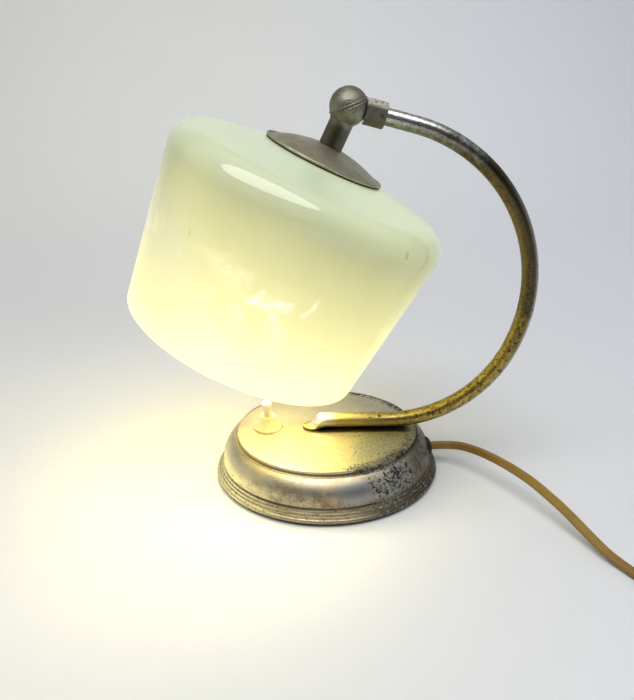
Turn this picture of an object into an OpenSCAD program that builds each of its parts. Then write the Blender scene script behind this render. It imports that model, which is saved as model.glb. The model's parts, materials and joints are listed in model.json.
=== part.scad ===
/* [Base] */
// Diameter of the base over its rolled rim
base_d = 144; // [136:1:160]
// Diameter of the flat top plate
plate_d = 116; // [108:1:120]
// Height of the top plate's upper face
plate_z = 28.5; // [26:0.5:34]
// Wall of the base shell
shell_wall = 1.2; // [0.8:0.1:1.6]
// Radius of the rolled rim
rim_r = 1.4; // [1:0.1:1.8]
// Height of the rim's centre
rim_z = 3.1; // [2.8:0.1:3.6]
// How far the barrel wall stands inside the rim
barrel_inset = 4.4; // [3:0.1:6]
// Height where the barrel wall starts to curve in
barrel_z = 10.5; // [9:0.5:13]
// Height of the step between the plate and the shoulder
step_h = 2.6; // [1.5:0.1:3.5]
// Radius of the bead round the step
bead_r = 0.6; // [0.4:0.1:0.9]
// Number of rings on the foot
foot_rings = 3; // [2:1:4]
// Thickness of the felt pad
felt_t = 1.4; // [1:0.1:2]
// Thickness of the bottom cover
cover_t = 1.5; // [1:0.1:2]
// Inner radius of the iron weight
weight_in_r = 40; // [36:1:44]
// Height of the iron weight
weight_h = 14; // [11:0.5:15]
// Diameter of a cover post
post_d = 7; // [6:0.5:8]
// Diameter of the cover screws
cover_screw_d = 4; // [3:0.5:4]

/* [Arm] */
// Outer diameter of the arm tube
tube_d = 10; // [9:0.5:12]
// Wall of the arm tube
tube_wall = 1; // [0.8:0.1:1.2]
// Where the squashed inner end of the arm lies
arm_tip_x = -12; // [-16:1:-8]
// Where the lower bend starts
run_x = 40; // [36:1:46]
// Radius of the lower bend
low_bend_r = 83; // [76:1:90]
// Angle of the lower bend
low_bend_angle = 64; // [58:1:70]
// Radius of the upper bend
high_bend_r = 98; // [92:1:106]
// Slope of the arm's upper end
end_tilt = 15.5; // [12:0.5:20]
// Length of the straight upper end
end_straight = 23; // [18:1:28]
// Diameter of the arm's fixing screws
arm_screw_d = 4; // [3:0.5:4]
// Where the inner fixing screw stands
arm_screw_x = 8; // [6:1:12]
// Distance between the arm's fixing screws
arm_screw_pitch = 24; // [20:1:26]

/* [Knuckle] */
// Diameter of the ball
ball_d = 22; // [20:0.5:26]
// Wall of the ball
ball_wall = 1.6; // [1.2:0.1:2]
// Slope of the seam round the ball
seam_tilt = 20.3; // [16:0.1:24]
// Radius of each bead beside the seam
seam_bead_r = 0.55; // [0.4:0.05:0.7]
// Distance from the ball's centre to the tube's end
knuckle_reach = 16; // [15.5:0.5:18]
// Hex nut size across flats
nut_af = 13; // [12.5:0.5:15]
// How far the nut reaches over the tube
nut_grip = 5.6; // [4:0.2:8]
// How far the nut's rim is from the ball's centre
nut_rim_z = 9; // [8.5:0.1:10]
// Diameter of the neck's shank
shank_d = 5; // [4.5:0.1:5.5]
// Diameter of the neck's flange
flange_d = 9; // [8.4:0.1:9.4]
// Diameter of the pivot pin
pivot_d = 3; // [2.5:0.1:3.5]
// Diameter of the neck's eye
eye_d = 9; // [8:0.1:9.6]
// Thickness of the neck's eye
eye_t = 4.4; // [4:0.1:4.8]
// Thickness of a friction washer
washer_t = 0.4; // [0.3:0.1:0.6]
// How far the shade tilts up from rest
tilt_up = 15; // [8:1:16]
// How far the shade tilts in towards the arm
tilt_in = 22; // [12:1:23]

/* [Shade] */
// Tilt of the shade's axis from the vertical
shade_tilt = 26; // [22:0.5:30]
// Diameter of the stem
stem_d = 13.8; // [13:0.1:14.6]
// Distance from the ball's centre to the stem's lower end
stem_end = 23.7; // [21:0.1:28]
// Diameter of the domed cap
cap_d = 72; // [64:1:80]
// Height of the domed cap
cap_h = 8.8; // [7:0.1:12]
// Wall of the domed cap
cap_wall = 1; // [0.8:0.1:1.4]
// Thickness of the gasket under the cap
gasket_t = 0.6; // [0.4:0.1:1.2]
// Radius of the shade's shoulder before it is rounded
shoulder_r = 86.5; // [80:0.5:92]
// Drop of the shoulder below the top of the glass
shoulder_drop = 10.2; // [6:0.1:14]
// Radius of the rounded shoulder
shoulder_fillet = 15; // [10:0.5:20]
// Radius of the shade's lower edge
shade_foot_r = 74; // [68:0.5:80]
// Height of the glass shade
shade_h = 120.5; // [112:0.5:130]
// Radius of the rounded lower lip
lip_fillet = 4; // [2:0.5:6]
// Thickness of the glass
glass_t = 2.6; // [2:0.1:3.2]
// Radius of the hole in the top of the glass
glass_hole_r = 21; // [20.5:0.1:24]

/* [Lampholder and bulb] */
// Diameter of the lampholder
holder_d = 39; // [38:0.5:40]
// Wall of the lampholder
holder_wall = 2.6; // [2:0.1:3]
// Height of the lampholder's cap
holder_cap_h = 7.4; // [6.6:0.1:9]
// Length of the lampholder's skirt
skirt_l = 36; // [32:0.5:40]
// Diameter of the threaded nipple
nipple_d = 10; // [9:0.5:10]
// Bore of the threaded nipple
nipple_bore = 7; // [6:0.1:7.6]
// Outer diameter of the shade ring
shade_ring_d = 54; // [50:1:60]
// Thickness of the shade ring
shade_ring_t = 4; // [3:0.5:6]
// Outer diameter of the bulb's screw cap
bulb_cap_d = 26.2; // [26:0.1:26.6]
// Length of the bulb's screw cap
bulb_cap_l = 21; // [19:0.5:23]
// Diameter of the bulb
bulb_d = 60; // [50:1:64]
// Length of the bulb's glass from its cap to its end
bulb_l = 84; // [72:1:86]
// Thickness of the bulb's glass
bulb_wall = 0.8; // [0.6:0.1:1.2]

/* [Switch] */
// Distance of the switch from the base's centre
switch_x = 38; // [34:0.5:39]
// Radius of the collar's foot
collar_foot_r = 8.8; // [8:0.1:9.6]
// Radius of the collar's top
collar_top_r = 5.5; // [5.3:0.1:6]
// Height of the collar
collar_h = 9; // [8:0.1:11]
// Radius of the threaded bush
bush_r = 4.7; // [4.5:0.1:4.9]
// Bore radius of the threaded bush
bush_bore_r = 3.9; // [3.7:0.1:4]
// Height of the lever's pivot above the plate
lever_pivot_h = 4; // [3.5:0.1:4.6]
// Length of the lever above its pivot
lever_l = 16; // [13:0.5:20]
// Radius of the lever's knob
lever_knob_r = 3.15; // [2.8:0.05:3.5]
// Length of the lever's tail
tail_l = 12.5; // [11.5:0.5:13]
// Lean of the lever to each side
lever_lean = 12; // [8:1:12]
// Radius of the switch body
switch_body_r = 9.5; // [9.2:0.1:10]
// Height of the switch body
switch_body_h = 11.7; // [11:0.1:13]

/* [Cord] */
// Width of the flat twin cord
cord_w = 5.5; // [5:0.1:5.8]
// Thickness of the flat twin cord
cord_t = 3.3; // [3:0.1:3.5]
// Height where the cord leaves the base
cord_z = 14; // [13.5:0.1:14.5]
// Radius of the grommet's head
grommet_r = 6; // [5.5:0.1:6.5]
// Length of the plug's body
plug_l = 28; // [24:1:34]
// Distance between the plug's blades
blade_pitch = 12.7; // [11:0.1:13]
// Width of the plug's blades
blade_w = 6.3; // [5:0.1:7]
// Thickness of the plug's blades
blade_t = 1.5; // [1.2:0.1:2]
// Length of the plug's blades
blade_l = 17; // [14:1:20]
// Number of loops in each of the coil's two layers
loops_per_layer = 4; // [3:1:5]
// Step from one loop to the next
loop_pitch = 4.8; // [4.8:0.1:5.2]
// Radius of the coil's outer loop
coil_r = 40; // [39:0.5:44]
// Height from one layer to the next
layer_step = 7.2; // [7.2:0.1:8]

/* [Hidden] */

$fn = 64;
// Clearance of a running or screwed fit, on the radius
fit = 0.05;
// Gap between faces that must never touch
free = 0.35;
// How far a cutting shape passes beyond what it cuts
over = 1;

// Base heights and radii
base_r = base_d / 2;
plate_r = plate_d / 2;
barrel_r = base_r - barrel_inset;
cover_z = felt_t;
cover_top = cover_z + cover_t;
shoulder_z = plate_z - step_h;
bead_out = 1;
foot_z = rim_z + rim_r;
plate_under = plate_z - shell_wall;
rim_in_r = base_r - 2 * rim_r;
cover_gap = 0.4;
cover_r = rim_in_r - shell_wall - cover_gap;
felt_r = cover_r - cover_gap;
weight_gap = 4;
weight_r = barrel_r - shell_wall - weight_gap;
weight_top = cover_top + weight_h;
post_count = 3;
post_wall_gap = 1.3;
post_web = 2;
post_circle_r = min(plate_r - shell_wall - post_wall_gap, weight_r - post_web) - post_d / 2;
post_start = 30;
post_gap = 0.3;
head_spread = 1.8;

// Barrel arc through the wall's foot and the shoulder
barrel_run = barrel_r - plate_r - 2 * bead_out;
barrel_rise = shoulder_z - bead_r - barrel_z;
barrel_angle = 2 * atan(barrel_run / barrel_rise);
barrel_arc_r = barrel_rise / sin(barrel_angle);

// Arm path in the XZ plane
tube_r = tube_d / 2;
bore_r = tube_r - tube_wall;
seat_gap = 0.05;
run_z = plate_z + tube_r + seat_gap;
low_c = [run_x, run_z + low_bend_r];
low_end = low_c + low_bend_r * [sin(low_bend_angle), -cos(low_bend_angle)];
high_c = low_end + high_bend_r * [-sin(low_bend_angle), cos(low_bend_angle)];
high_end_heading = 180 - end_tilt;
high_bend_angle = high_end_heading - low_bend_angle;
high_end = high_c + high_bend_r * [sin(high_end_heading), -cos(high_end_heading)];
end_dir = [cos(high_end_heading), sin(high_end_heading)];
tube_end = high_end + end_straight * end_dir;
ball_at = tube_end + knuckle_reach * end_dir;
ball_c = [ball_at[0], 0, ball_at[1]];
nose_round = tube_d + 0.3;
nose_x = arm_tip_x + nose_round;
// Lengths of the arm lap into each other, with a step on the radius
lap_l = 0.5;
lap_step = 0.02;
lap_turn = lap_l / high_bend_r * 180 / PI;
wire_x = arm_screw_x + arm_screw_pitch / 2;
wire_hole_r = 2.2;
bar_top = -1.2;
bar_end = 6;
screw_head_h = 2.4;
screw_head_spread = 1.5;

// Knuckle
ball_r = ball_d / 2;
cavity_r = ball_r - ball_wall;
seam_gap = 0.04;
bead_gap = 0.25;
cup_r = ball_r + seam_bead_r + free;
nut_end = knuckle_reach + nut_grip;
nut_web = 1.3;
pocket_z = cup_r + nut_web;
flange_z = pocket_z + fit;
flange_t = knuckle_reach - pocket_z - 2 * fit;
pilot_gap = 0.08;
pilot_l = 6;
slot_w = shank_d + 2 * free;
eye_gap = 0.06;
washer_y = eye_t / 2 + eye_gap;
lug_y = washer_y + washer_t + eye_gap;
lug_r = 3.6;
shank_z = eye_d / 2 - over;
washer_r = shank_z - 2 * fit;
spigot_h = 1.2;
spigot_t = 0.6;
ring_mark_r = 4;
ring_mark_t = 0.3;
lead_r = 1.1;
lead_hole_r = 1.3;
grub_r = 1.2;

// Shade, measured down the stem's axis from the ball's centre
stem_r = stem_d / 2;
cap_r = cap_d / 2;
cap_z = stem_end;
cap_rim_z = cap_z + cap_h;
cap_sphere_r = (cap_r * cap_r + cap_h * cap_h) / (2 * cap_h);
cap_edge_r = 0.8;
dome_fn = 240;
glass_z = cap_rim_z + gasket_t;
gasket_w = 4.5;
glass_flat_r = cap_r - 2;
nipple_r = nipple_d / 2;
nipple_z = stem_end - 9;
holder_r = holder_d / 2;
holder_neck_r = 8;
cap_in_r = cap_sphere_r - cap_wall;
neck_sag = cap_in_r - sqrt(cap_in_r * cap_in_r - holder_neck_r * holder_neck_r);
holder_z = cap_z + cap_wall + neck_sag + fit;
holder_neck_h = 3.4;
skirt_z = holder_z + holder_cap_h;
holder_in_r = holder_r - holder_wall;
core_z = skirt_z + 1;
core_h = 6;
shell_t = 0.5;
shell_gap = 0.3;
shell_l = 22;
thread_z = core_z + core_h;
bulb_cap_r = bulb_cap_d / 2;
bulb_tip_r = 4.5;
bulb_tip_h = 1.2;
contact_h = 2.6;
bulb_tip_z = thread_z + contact_h + 0.1;
bulb_cap_z = bulb_tip_z + bulb_tip_h;
bulb_cone_h = 3;
bulb_glass_z = bulb_cap_z + bulb_cap_l;
bulb_r = bulb_d / 2;
bulb_neck_r = bulb_cap_r - 1;
bulb_root = 6;

// Switch
bush_top = plate_z + collar_h - 0.4;
bush_flange_r = 7.5;
bush_flange_t = 1.6;
body_top = plate_under - bush_flange_t;
body_z = body_top - switch_body_h;
body_wall = 1.5;
pivot_z = plate_z + lever_pivot_h;
lever_ball_r = 2.6;
lever_stem_r = 2.1;
tail_r = 1.4;
wiper_r = 2.3;
wiper_h = 3;
pin_r = 0.8;
terminal_t = 0.8;
terminal_w = 4;
terminal_y = (tail_l - wiper_h / 2) * sin(lever_lean) + wiper_r + free;

// Grommet, clamp and the cord's free route: x, y, z and the twist of the flat section
grommet_neck_r = 4.5;
grommet_bore_r = cord_w / 2 + 0.1;
grommet_out = 5.4;
grommet_face_x = barrel_r + grommet_out;
grommet_in_x = 63;
grommet_nose_r = 4.2;
clamp_x = 52;
clamp_w = 6;
clamp_l = 18;
clamp_t = 2;
clamp_screw_y = 6.4;
clamp_screw_r = 1.5;
channel_w = 7.2;
channel_z = cord_z - cord_t / 2 - 0.1;
cord_sides = 10;
route = [
    [grommet_face_x, 0, cord_z, 90], [81, 0, cord_z, 86], [89, -4, 15, 80], [97, -11, 15.5, 74],
    [104, -20, 16, 68], [111, -30, 16, 62], [117.5, -40, 15.5, 55], [123.5, -50, 14.5, 48],
    [129, -61, 13, 41], [134.5, -72, 11, 34], [139.5, -83, 8.6, 27], [144.5, -94, 6, 20],
    [149.5, -104, 3.8, 12], [155, -113, 2.5, 5], [160, -122, 2.3, 10], [164.5, -131.5, 2.6, 30],
    [169.5, -141.5, 3.2, 55]
];
inner_route = [
    [grommet_face_x, 0, cord_z, 90], [grommet_in_x + 3, 0, cord_z, 30], [grommet_in_x, 0, cord_z, 0],
    [clamp_x, 0, cord_z, 0], [weight_in_r - 2, 0, cord_z, 0], [30, 2.5, 13.2, 0], [20, 6.5, 12, 0],
    [6, 9, 11.5, 0], [-10, 6, 13.5, 20], [-20, 2.4, 16.5, 60]
];

// Coil: two layers, wound in on the table and out again above
tie_t = 0.8;
tie_w = 7;
coil_c = [218, -140];
coil_start = 214;
rings_per_loop = 24;
coil_sides = 6;
coil_turns = 2 * loops_per_layer + 0.5;
coil_z = tie_t + 0.2 + cord_w / 2;
climb_turns = 0.5;
lead_out = 16;
tie_turn = 0.75;
tie_angle = coil_start + 360 * tie_turn;

// Plug, on the line of the coil's outer end
boot_l = 20;
boot_r = 3.6;
plug_z = coil_z + layer_step;
plug_r = plug_z;
plug_waist_r = 7;

function unit(v) = v / norm(v);
function lerp(a, b, t) = a + (b - a) * t;
function ray(a) = [cos(a), sin(a)];
function arc(c, r, a0, a1, n) = [for (i = [0:n]) c + r * ray(lerp(a0, a1, i / n))];

// Rounded corner at b between a and c, from the a side to the c side
function corner(a, b, c, r, n) =
    let (u = unit(a - b), v = unit(c - b), half = acos(u * v) / 2)
    let (o = b + unit(u + v) * r / sin(half), p = b + u * r / tan(half) - o, q = b + v * r / tan(half) - o)
    let (a0 = atan2(p[1], p[0]), turn = atan2(p[0] * q[1] - p[1] * q[0], p * q))
    arc(o, r, a0, a0 + turn, n);

// Section of the flat cord, n sides, at half width w and half thickness t
function flat_section(n, w, t) = [for (i = [0:n - 1]) [w * cos(360 * i / n), t * sin(360 * i / n)]];

// Ring of a swept section about p: side is the section's width at no twist
function swept_ring(p, dir, side, twist, section) =
    let (up = cross(dir, side))
    [for (s = section)
        p + side * (s[0] * cos(twist) - s[1] * sin(twist)) + up * (s[0] * sin(twist) + s[1] * cos(twist))];
function point(p) = [p[0], p[1], p[2]];
function route_dir(pts, i) = unit(point(pts[min(i + 1, len(pts) - 1)]) - point(pts[max(i - 1, 0)]));

// Rings along a route that lies level: twist 90 stands the section's width up
function level_rings(pts, section) =
    [for (i = [0:len(pts) - 1])
        let (dir = route_dir(pts, i))
        swept_ring(point(pts[i]), dir, unit(cross([0, 0, 1], dir)), pts[i][3], section)];

// Rings along a route that climbs in the arm's plane
function upright_rings(pts, section) =
    [for (i = [0:len(pts) - 1])
        let (dir = route_dir(pts, i), y = [0, 1, 0])
        swept_ring(point(pts[i]), dir, unit(y - (y * dir) * dir), 0, section)];

// Coil point after t loops: inwards on the lower layer, outwards on the upper one
function smooth(x) = let (c = min(max(x, 0), 1)) c * c * (3 - 2 * c);
function coil_radius(t) = coil_r - loop_pitch * min(t, coil_turns - t);
function coil_height(t) = coil_z + layer_step * smooth((t - coil_turns / 2) / climb_turns + 0.5);
function coil_point(t) =
    let (a = coil_start + 360 * t)
    [coil_c[0] + coil_radius(t) * cos(a), coil_c[1] + coil_radius(t) * sin(a), coil_height(t)];
coil_step = 1 / rings_per_loop;
coil_in_dir = unit(coil_point(coil_step / 9) - coil_point(0));
coil_out_dir = unit(coil_point(coil_turns) - coil_point(coil_turns - coil_step / 9));
coil_in = coil_point(0) - cord_w * coil_in_dir;
coil_out = coil_point(coil_turns) + lead_out * coil_out_dir;
coil_heading = atan2(coil_out_dir[1], coil_out_dir[0]);
coil_points = concat(
    [[each coil_in, 90]],
    [for (i = [0:coil_turns * rings_per_loop]) [each coil_point(i * coil_step), 90]],
    [[each coil_out, 90]]
);
coil_gaps = [for (i = [0:(coil_turns - 1) * rings_per_loop], k = [1:coil_turns])
    let (j = i + k * rings_per_loop)
    if (j <= coil_turns * rings_per_loop)
        let (dr = abs(coil_radius(i * coil_step) - coil_radius(j * coil_step)))
        let (dz = abs(coil_height(i * coil_step) - coil_height(j * coil_step)))
        max(dr - cord_t, dz - cord_w)];
echo(least_gap_in_coil = min(coil_gaps));

cord_section = flat_section(cord_sides, cord_w / 2, cord_t / 2);
square_in = 8;
full_route = concat(route, [[each (coil_in - square_in * coil_in_dir), 80], [each coil_in, 90]]);

// Lead from the switch through the plate and along the arm
lead_x = -switch_x + switch_body_r + fit;
lead_z = 17;
lead_low_z = 14;
lead_side = 7;
lead_steps = 10;
lead_stop = flange_z + flange_t + pilot_l + free;
lead_route = concat(
    [for (t = [0, 0.2, 0.45, 0.7, 0.9])
        let (z = lerp(lead_low_z, lead_z, pow(2 * t - 1, 2)))
        [lerp(lead_x, wire_x, t), -lead_side * sin(lerp(36, 180, t)), z]],
    [[wire_x - lead_r / 5, 0, plate_under - lead_side], [wire_x, 0, plate_under - 2 * shell_wall]],
    [for (q = [[0, -0.9], [0.08, -0.25], [0.6, 0.2], [2, 0.2]])
        [wire_x + q[0] * bore_r, 0, run_z + q[1] * bore_r]],
    [for (i = [0:lead_steps])
        let (a = low_bend_angle * i / lead_steps, p = low_c + low_bend_r * ray(a - 90))
        [p[0], 0, p[1]]],
    [for (i = [1:lead_steps])
        let (a = low_bend_angle + high_bend_angle * i / lead_steps, p = high_c + high_bend_r * ray(a - 90))
        [p[0], 0, p[1]]],
    [let (p = ball_at - lead_stop * end_dir) [p[0], 0, p[1]]]
);

// Skin of triangles over rings with the same number of points
module skin(rings) {
    n = len(rings[0]);
    last = (len(rings) - 1) * n;
    sides = [for (i = [0:len(rings) - 2], j = [0:n - 1], half = [0, 1])
        let (a = i * n + j, b = i * n + (j + 1) % n)
        half == 0 ? [a, a + n, b + n] : [a, b + n, b]];
    first_cap = [for (j = [1:n - 2]) [0, j, j + 1]];
    last_cap = [for (j = [1:n - 2]) [last, last + j + 1, last + j]];
    polyhedron(points = [for (r = rings) each r], faces = concat(sides, first_cap, last_cap));
}

// Places: the head looks down the stem, the neck looks from the ball along the arm's end
module at_head() { translate(ball_c) rotate([0, 180 + shade_tilt, 0]) children(); }
module at_neck() { translate(ball_c) rotate([0, 90 + end_tilt, 0]) children(); }
module at_seam() { translate(ball_c) rotate([0, -seam_tilt, 0]) children(); }
module at_switch() { translate([-switch_x, 0, 0]) children(); }
module at_lever() { translate([-switch_x, 0, pivot_z]) rotate([lever_lean, 0, 0]) children(); }
module at_posts() {
    for (i = [0:post_count - 1])
        rotate(post_start + 360 * i / post_count) translate([post_circle_r, 0, 0]) children();
}
module at_arm_screws() {
    for (x = [arm_screw_x, arm_screw_x + arm_screw_pitch]) translate([x, 0, 0]) children();
}
module at_clamp_screws() {
    for (y = [-clamp_screw_y, clamp_screw_y]) translate([clamp_x, y, 0]) children();
}
module at_plug() { translate(coil_out) rotate(coil_heading) rotate([0, 90, 0]) children(); }
module along_x(x0, x1, r) { translate([x0, 0, 0]) rotate([0, 90, 0]) cylinder(r = r, h = x1 - x0); }
module along_y(r, l) { rotate([90, 0, 0]) cylinder(r = r, h = l, center = true); }
module tube(r, bore, h) {
    linear_extrude(h) difference() {
        circle(r = r);
        circle(r = bore);
    }
}
module torus(big_r, small_r) { rotate_extrude() translate([big_r, 0]) circle(r = small_r); }

// Base outline: rolled rim, ringed foot, barrel, bead and plate edge
plate_edge_r = 0.5;
ring_face = 0.7;
ring_lean = 0.15;
ring_out_r = base_r - rim_r + 0.2;
ring_tread = (ring_out_r - barrel_r) / foot_rings;
ring_rise = (barrel_z - 1 - foot_z) / foot_rings;
barrel_c = [barrel_r - barrel_arc_r, barrel_z];
bead_c = [plate_r + 1.2 * bead_out, shoulder_z - bead_r];
base_outline = concat(
    [[0, rim_z - rim_r]],
    arc([base_r - rim_r, rim_z], rim_r, -90, 50, 7),
    [for (i = [0:foot_rings - 1], top = [0, 1])
        [ring_out_r - (i + top * ring_lean) * ring_tread, foot_z + (i + top * ring_face) * ring_rise]],
    arc(barrel_c, barrel_arc_r, 0, barrel_angle, 9),
    arc(bead_c, bead_r, 0, 180, 5),
    [[plate_r + 0.2 * bead_out, bead_c[1]]],
    arc([plate_r - plate_edge_r, plate_z - plate_edge_r], plate_edge_r, 0, 90, 3),
    [[0, plate_z]]
);
base_hollow = concat(
    [[0, rim_z - rim_r - over], [rim_in_r - shell_wall, rim_z - rim_r - over]],
    [[rim_in_r - shell_wall, foot_z]],
    arc(barrel_c, barrel_arc_r - shell_wall, 0, barrel_angle, 9),
    [[plate_r - shell_wall, barrel_c[1] + (barrel_arc_r - shell_wall) * sin(barrel_angle)]],
    [[plate_r - shell_wall, plate_under], [0, plate_under]]
);

module felt_pad() {
    color("darkgreen") cylinder(r = felt_r, h = felt_t);
}

module base_cover() {
    color("dimgray") difference() {
        translate([0, 0, cover_z]) cylinder(r = cover_r, h = cover_t);
        at_posts() translate([0, 0, cover_z - over])
            cylinder(d = cover_screw_d + 2 * fit, h = cover_t + 2 * over);
        at_posts() translate([0, 0, cover_z - fit])
            cylinder(r1 = cover_screw_d / 2 + head_spread + 2 * fit, r2 = cover_screw_d / 2, h = cover_t);
    }
}

module cover_screws() {
    shank_l = cover_t + weight_h / 2;
    color("silver") at_posts() translate([0, 0, cover_z]) {
        cylinder(d = cover_screw_d, h = shank_l);
        cylinder(r1 = cover_screw_d / 2 + head_spread - fit, r2 = cover_screw_d / 2 - 2 * fit, h = cover_t);
    }
}

module cover_posts() {
    color("tan") at_posts() translate([0, 0, cover_top]) difference() {
        cylinder(d = post_d, h = plate_under - cover_top);
        translate([0, 0, -over]) cylinder(d = cover_screw_d + 2 * fit, h = weight_h / 2 + 2 * over);
    }
}

module base_weight() {
    color("darkslategray") difference() {
        translate([0, 0, cover_top]) tube(weight_r, weight_in_r, weight_h);
        at_posts() translate([0, 0, cover_top - over])
            cylinder(d = post_d + 2 * post_gap, h = weight_h + 2 * over);
        at_switch() translate([0, 0, cover_top - over])
            cylinder(r = switch_body_r + post_gap, h = weight_h + 2 * over);
        translate([0, -channel_w / 2, channel_z]) cube([base_r, channel_w, weight_h]);
        at_clamp_screws() translate([0, 0, weight_top - weight_h / 2])
            cylinder(r = clamp_screw_r + fit, h = weight_h);
    }
}

module base_shell() {
    color("silver") difference() {
        rotate_extrude() difference() {
            polygon(base_outline);
            polygon(base_hollow);
        }
        translate([0, 0, cord_z]) along_x(weight_r, base_r + over, grommet_neck_r);
        at_switch() translate([0, 0, plate_under - over])
            cylinder(r = bush_r + fit, h = shell_wall + 2 * over);
        at_arm_screws() translate([0, 0, plate_under - over])
            cylinder(d = arm_screw_d + 2 * fit, h = shell_wall + 2 * over);
        translate([wire_x, 0, plate_under - over]) cylinder(r = wire_hole_r, h = shell_wall + 2 * over);
    }
}

module arm_bend(c, r, start, turn, grow) {
    translate([c[0], 0, c[1]]) rotate([90, 0, 0]) rotate(start - 90) rotate_extrude(angle = turn)
        translate([r, 0]) difference() {
            circle(r = tube_r + grow);
            circle(r = bore_r - grow);
        }
}

module arm_tube() {
    color("darkkhaki") difference() {
        union() {
            translate([nose_x, 0, run_z]) rotate([0, 90, 0])
                tube(tube_r + lap_step, bore_r - lap_step, run_x + lap_l - nose_x);
            intersection() {
                translate([0, 0, run_z]) along_x(arm_tip_x - over, nose_x + lap_l, tube_r);
                translate([nose_x, 0, run_z - tube_r]) along_y(nose_round, tube_d + 2 * over);
            }
            arm_bend(low_c, low_bend_r, 0, low_bend_angle, 0);
            arm_bend(high_c, high_bend_r, low_bend_angle - lap_turn, high_bend_angle + 2 * lap_turn, lap_step);
            at_neck() translate([0, 0, knuckle_reach]) tube(tube_r, bore_r, end_straight);
        }
        at_arm_screws() translate([0, 0, plate_z - over]) cylinder(d = arm_screw_d + 2 * fit, h = tube_r);
        translate([wire_x, 0, plate_z - over]) cylinder(r = wire_hole_r, h = tube_r);
    }
}

module arm_backing_bar() {
    bar_x = [arm_screw_x - bar_end, arm_screw_x + arm_screw_pitch + bar_end];
    color("peru") difference() {
        translate([0, 0, run_z]) along_x(bar_x[0], bar_x[1], bore_r - fit);
        translate([bar_x[0] - over, -tube_d, run_z + bar_top])
            cube([bar_x[1] - bar_x[0] + 2 * over, 2 * tube_d, tube_d]);
        at_arm_screws() translate([0, 0, plate_z]) cylinder(d = arm_screw_d, h = tube_d);
        translate([wire_x, 0, plate_z]) cylinder(r = wire_hole_r, h = tube_d);
    }
}

module arm_screws() {
    shank_l = run_z + bar_top - plate_under;
    color("silver") at_arm_screws() translate([0, 0, plate_under - screw_head_h]) {
        cylinder(r = arm_screw_d / 2 + screw_head_spread, h = screw_head_h);
        cylinder(r = arm_screw_d / 2 - fit, h = shank_l + screw_head_h);
    }
}

module hex_nut() {
    nut_l = nut_end - nut_rim_z;
    color("burlywood") at_neck() difference() {
        intersection() {
            translate([0, 0, nut_rim_z]) cylinder(d = nut_af / cos(30), h = nut_l, $fn = 6);
            translate([0, 0, nut_rim_z])
                cylinder(r1 = nut_af / 2 + nut_l * tan(60), r2 = nut_af / 2, h = nut_l);
        }
        sphere(r = cup_r);
        cylinder(r = shank_d / 2 + pilot_gap, h = nut_end);
        translate([0, 0, pocket_z]) cylinder(r = tube_r + fit, h = nut_l);
        translate([0, -tube_r, nut_end - nut_grip / 2]) rotate([90, 0, 0])
            cylinder(r = grub_r + fit, h = nut_af);
    }
}

module nut_grub_screw() {
    color("gray") at_neck() translate([0, -tube_r - fit, nut_end - nut_grip / 2]) rotate([90, 0, 0])
        difference() {
            cylinder(r = grub_r, h = nut_af / 2 - tube_r);
            translate([-grub_r, -0.2, nut_af / 2 - tube_r - 0.5]) cube([2 * grub_r, 0.4, over]);
        }
}

module knuckle_neck() {
    pilot_z = flange_z + flange_t;
    color("goldenrod") at_neck() difference() {
        union() {
            along_y(eye_d / 2, eye_t);
            translate([0, 0, shank_z]) cylinder(d = shank_d, h = flange_z - shank_z);
            translate([0, 0, flange_z]) cylinder(d = flange_d, h = flange_t);
            translate([0, 0, pilot_z]) cylinder(r = bore_r - pilot_gap, h = pilot_l);
        }
        along_y(pivot_d / 2 + fit, eye_t + 2 * over);
        translate([0, 0, eye_d / 2 + over]) cylinder(r = lead_hole_r, h = nut_end + pilot_l);
        translate([0, 0, eye_d / 2 + over + lead_hole_r]) rotate([0, 90, 0])
            cylinder(r = lead_hole_r, h = shank_d);
    }
}

module neck_lead() {
    color("ivory") at_neck() translate([0, 0, eye_d / 2 + over + fit])
        cylinder(r = lead_r, h = flange_z + flange_t + pilot_l - eye_d / 2 - over - fit);
}

// Slot that the neck swings in, cut through the ball
module neck_slot() {
    side = asin(slot_w / 2 / cavity_r);
    ends = [-tilt_up - side, tilt_in + side];
    reach = (ball_r + 2 * seam_bead_r) / cos((ends[1] - ends[0]) / 2);
    at_neck() rotate([90, 0, 0]) linear_extrude(slot_w, center = true)
        polygon(concat([[0, 0]], [for (a = ends) reach * [sin(a), cos(a)]]));
}

// Ring pressed round each end of the pivot
module pivot_marks() {
    y = sqrt(ball_r * ball_r - ring_mark_r * ring_mark_r);
    for (s = [-1, 1]) translate([0, s * y, 0]) rotate([90, 0, 0]) torus(ring_mark_r, ring_mark_t);
}

module half_space(up) {
    translate([-2 * ball_d, -2 * ball_d, up ? seam_gap / 2 : -4 * ball_d - seam_gap / 2]) cube(4 * ball_d);
}

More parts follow.
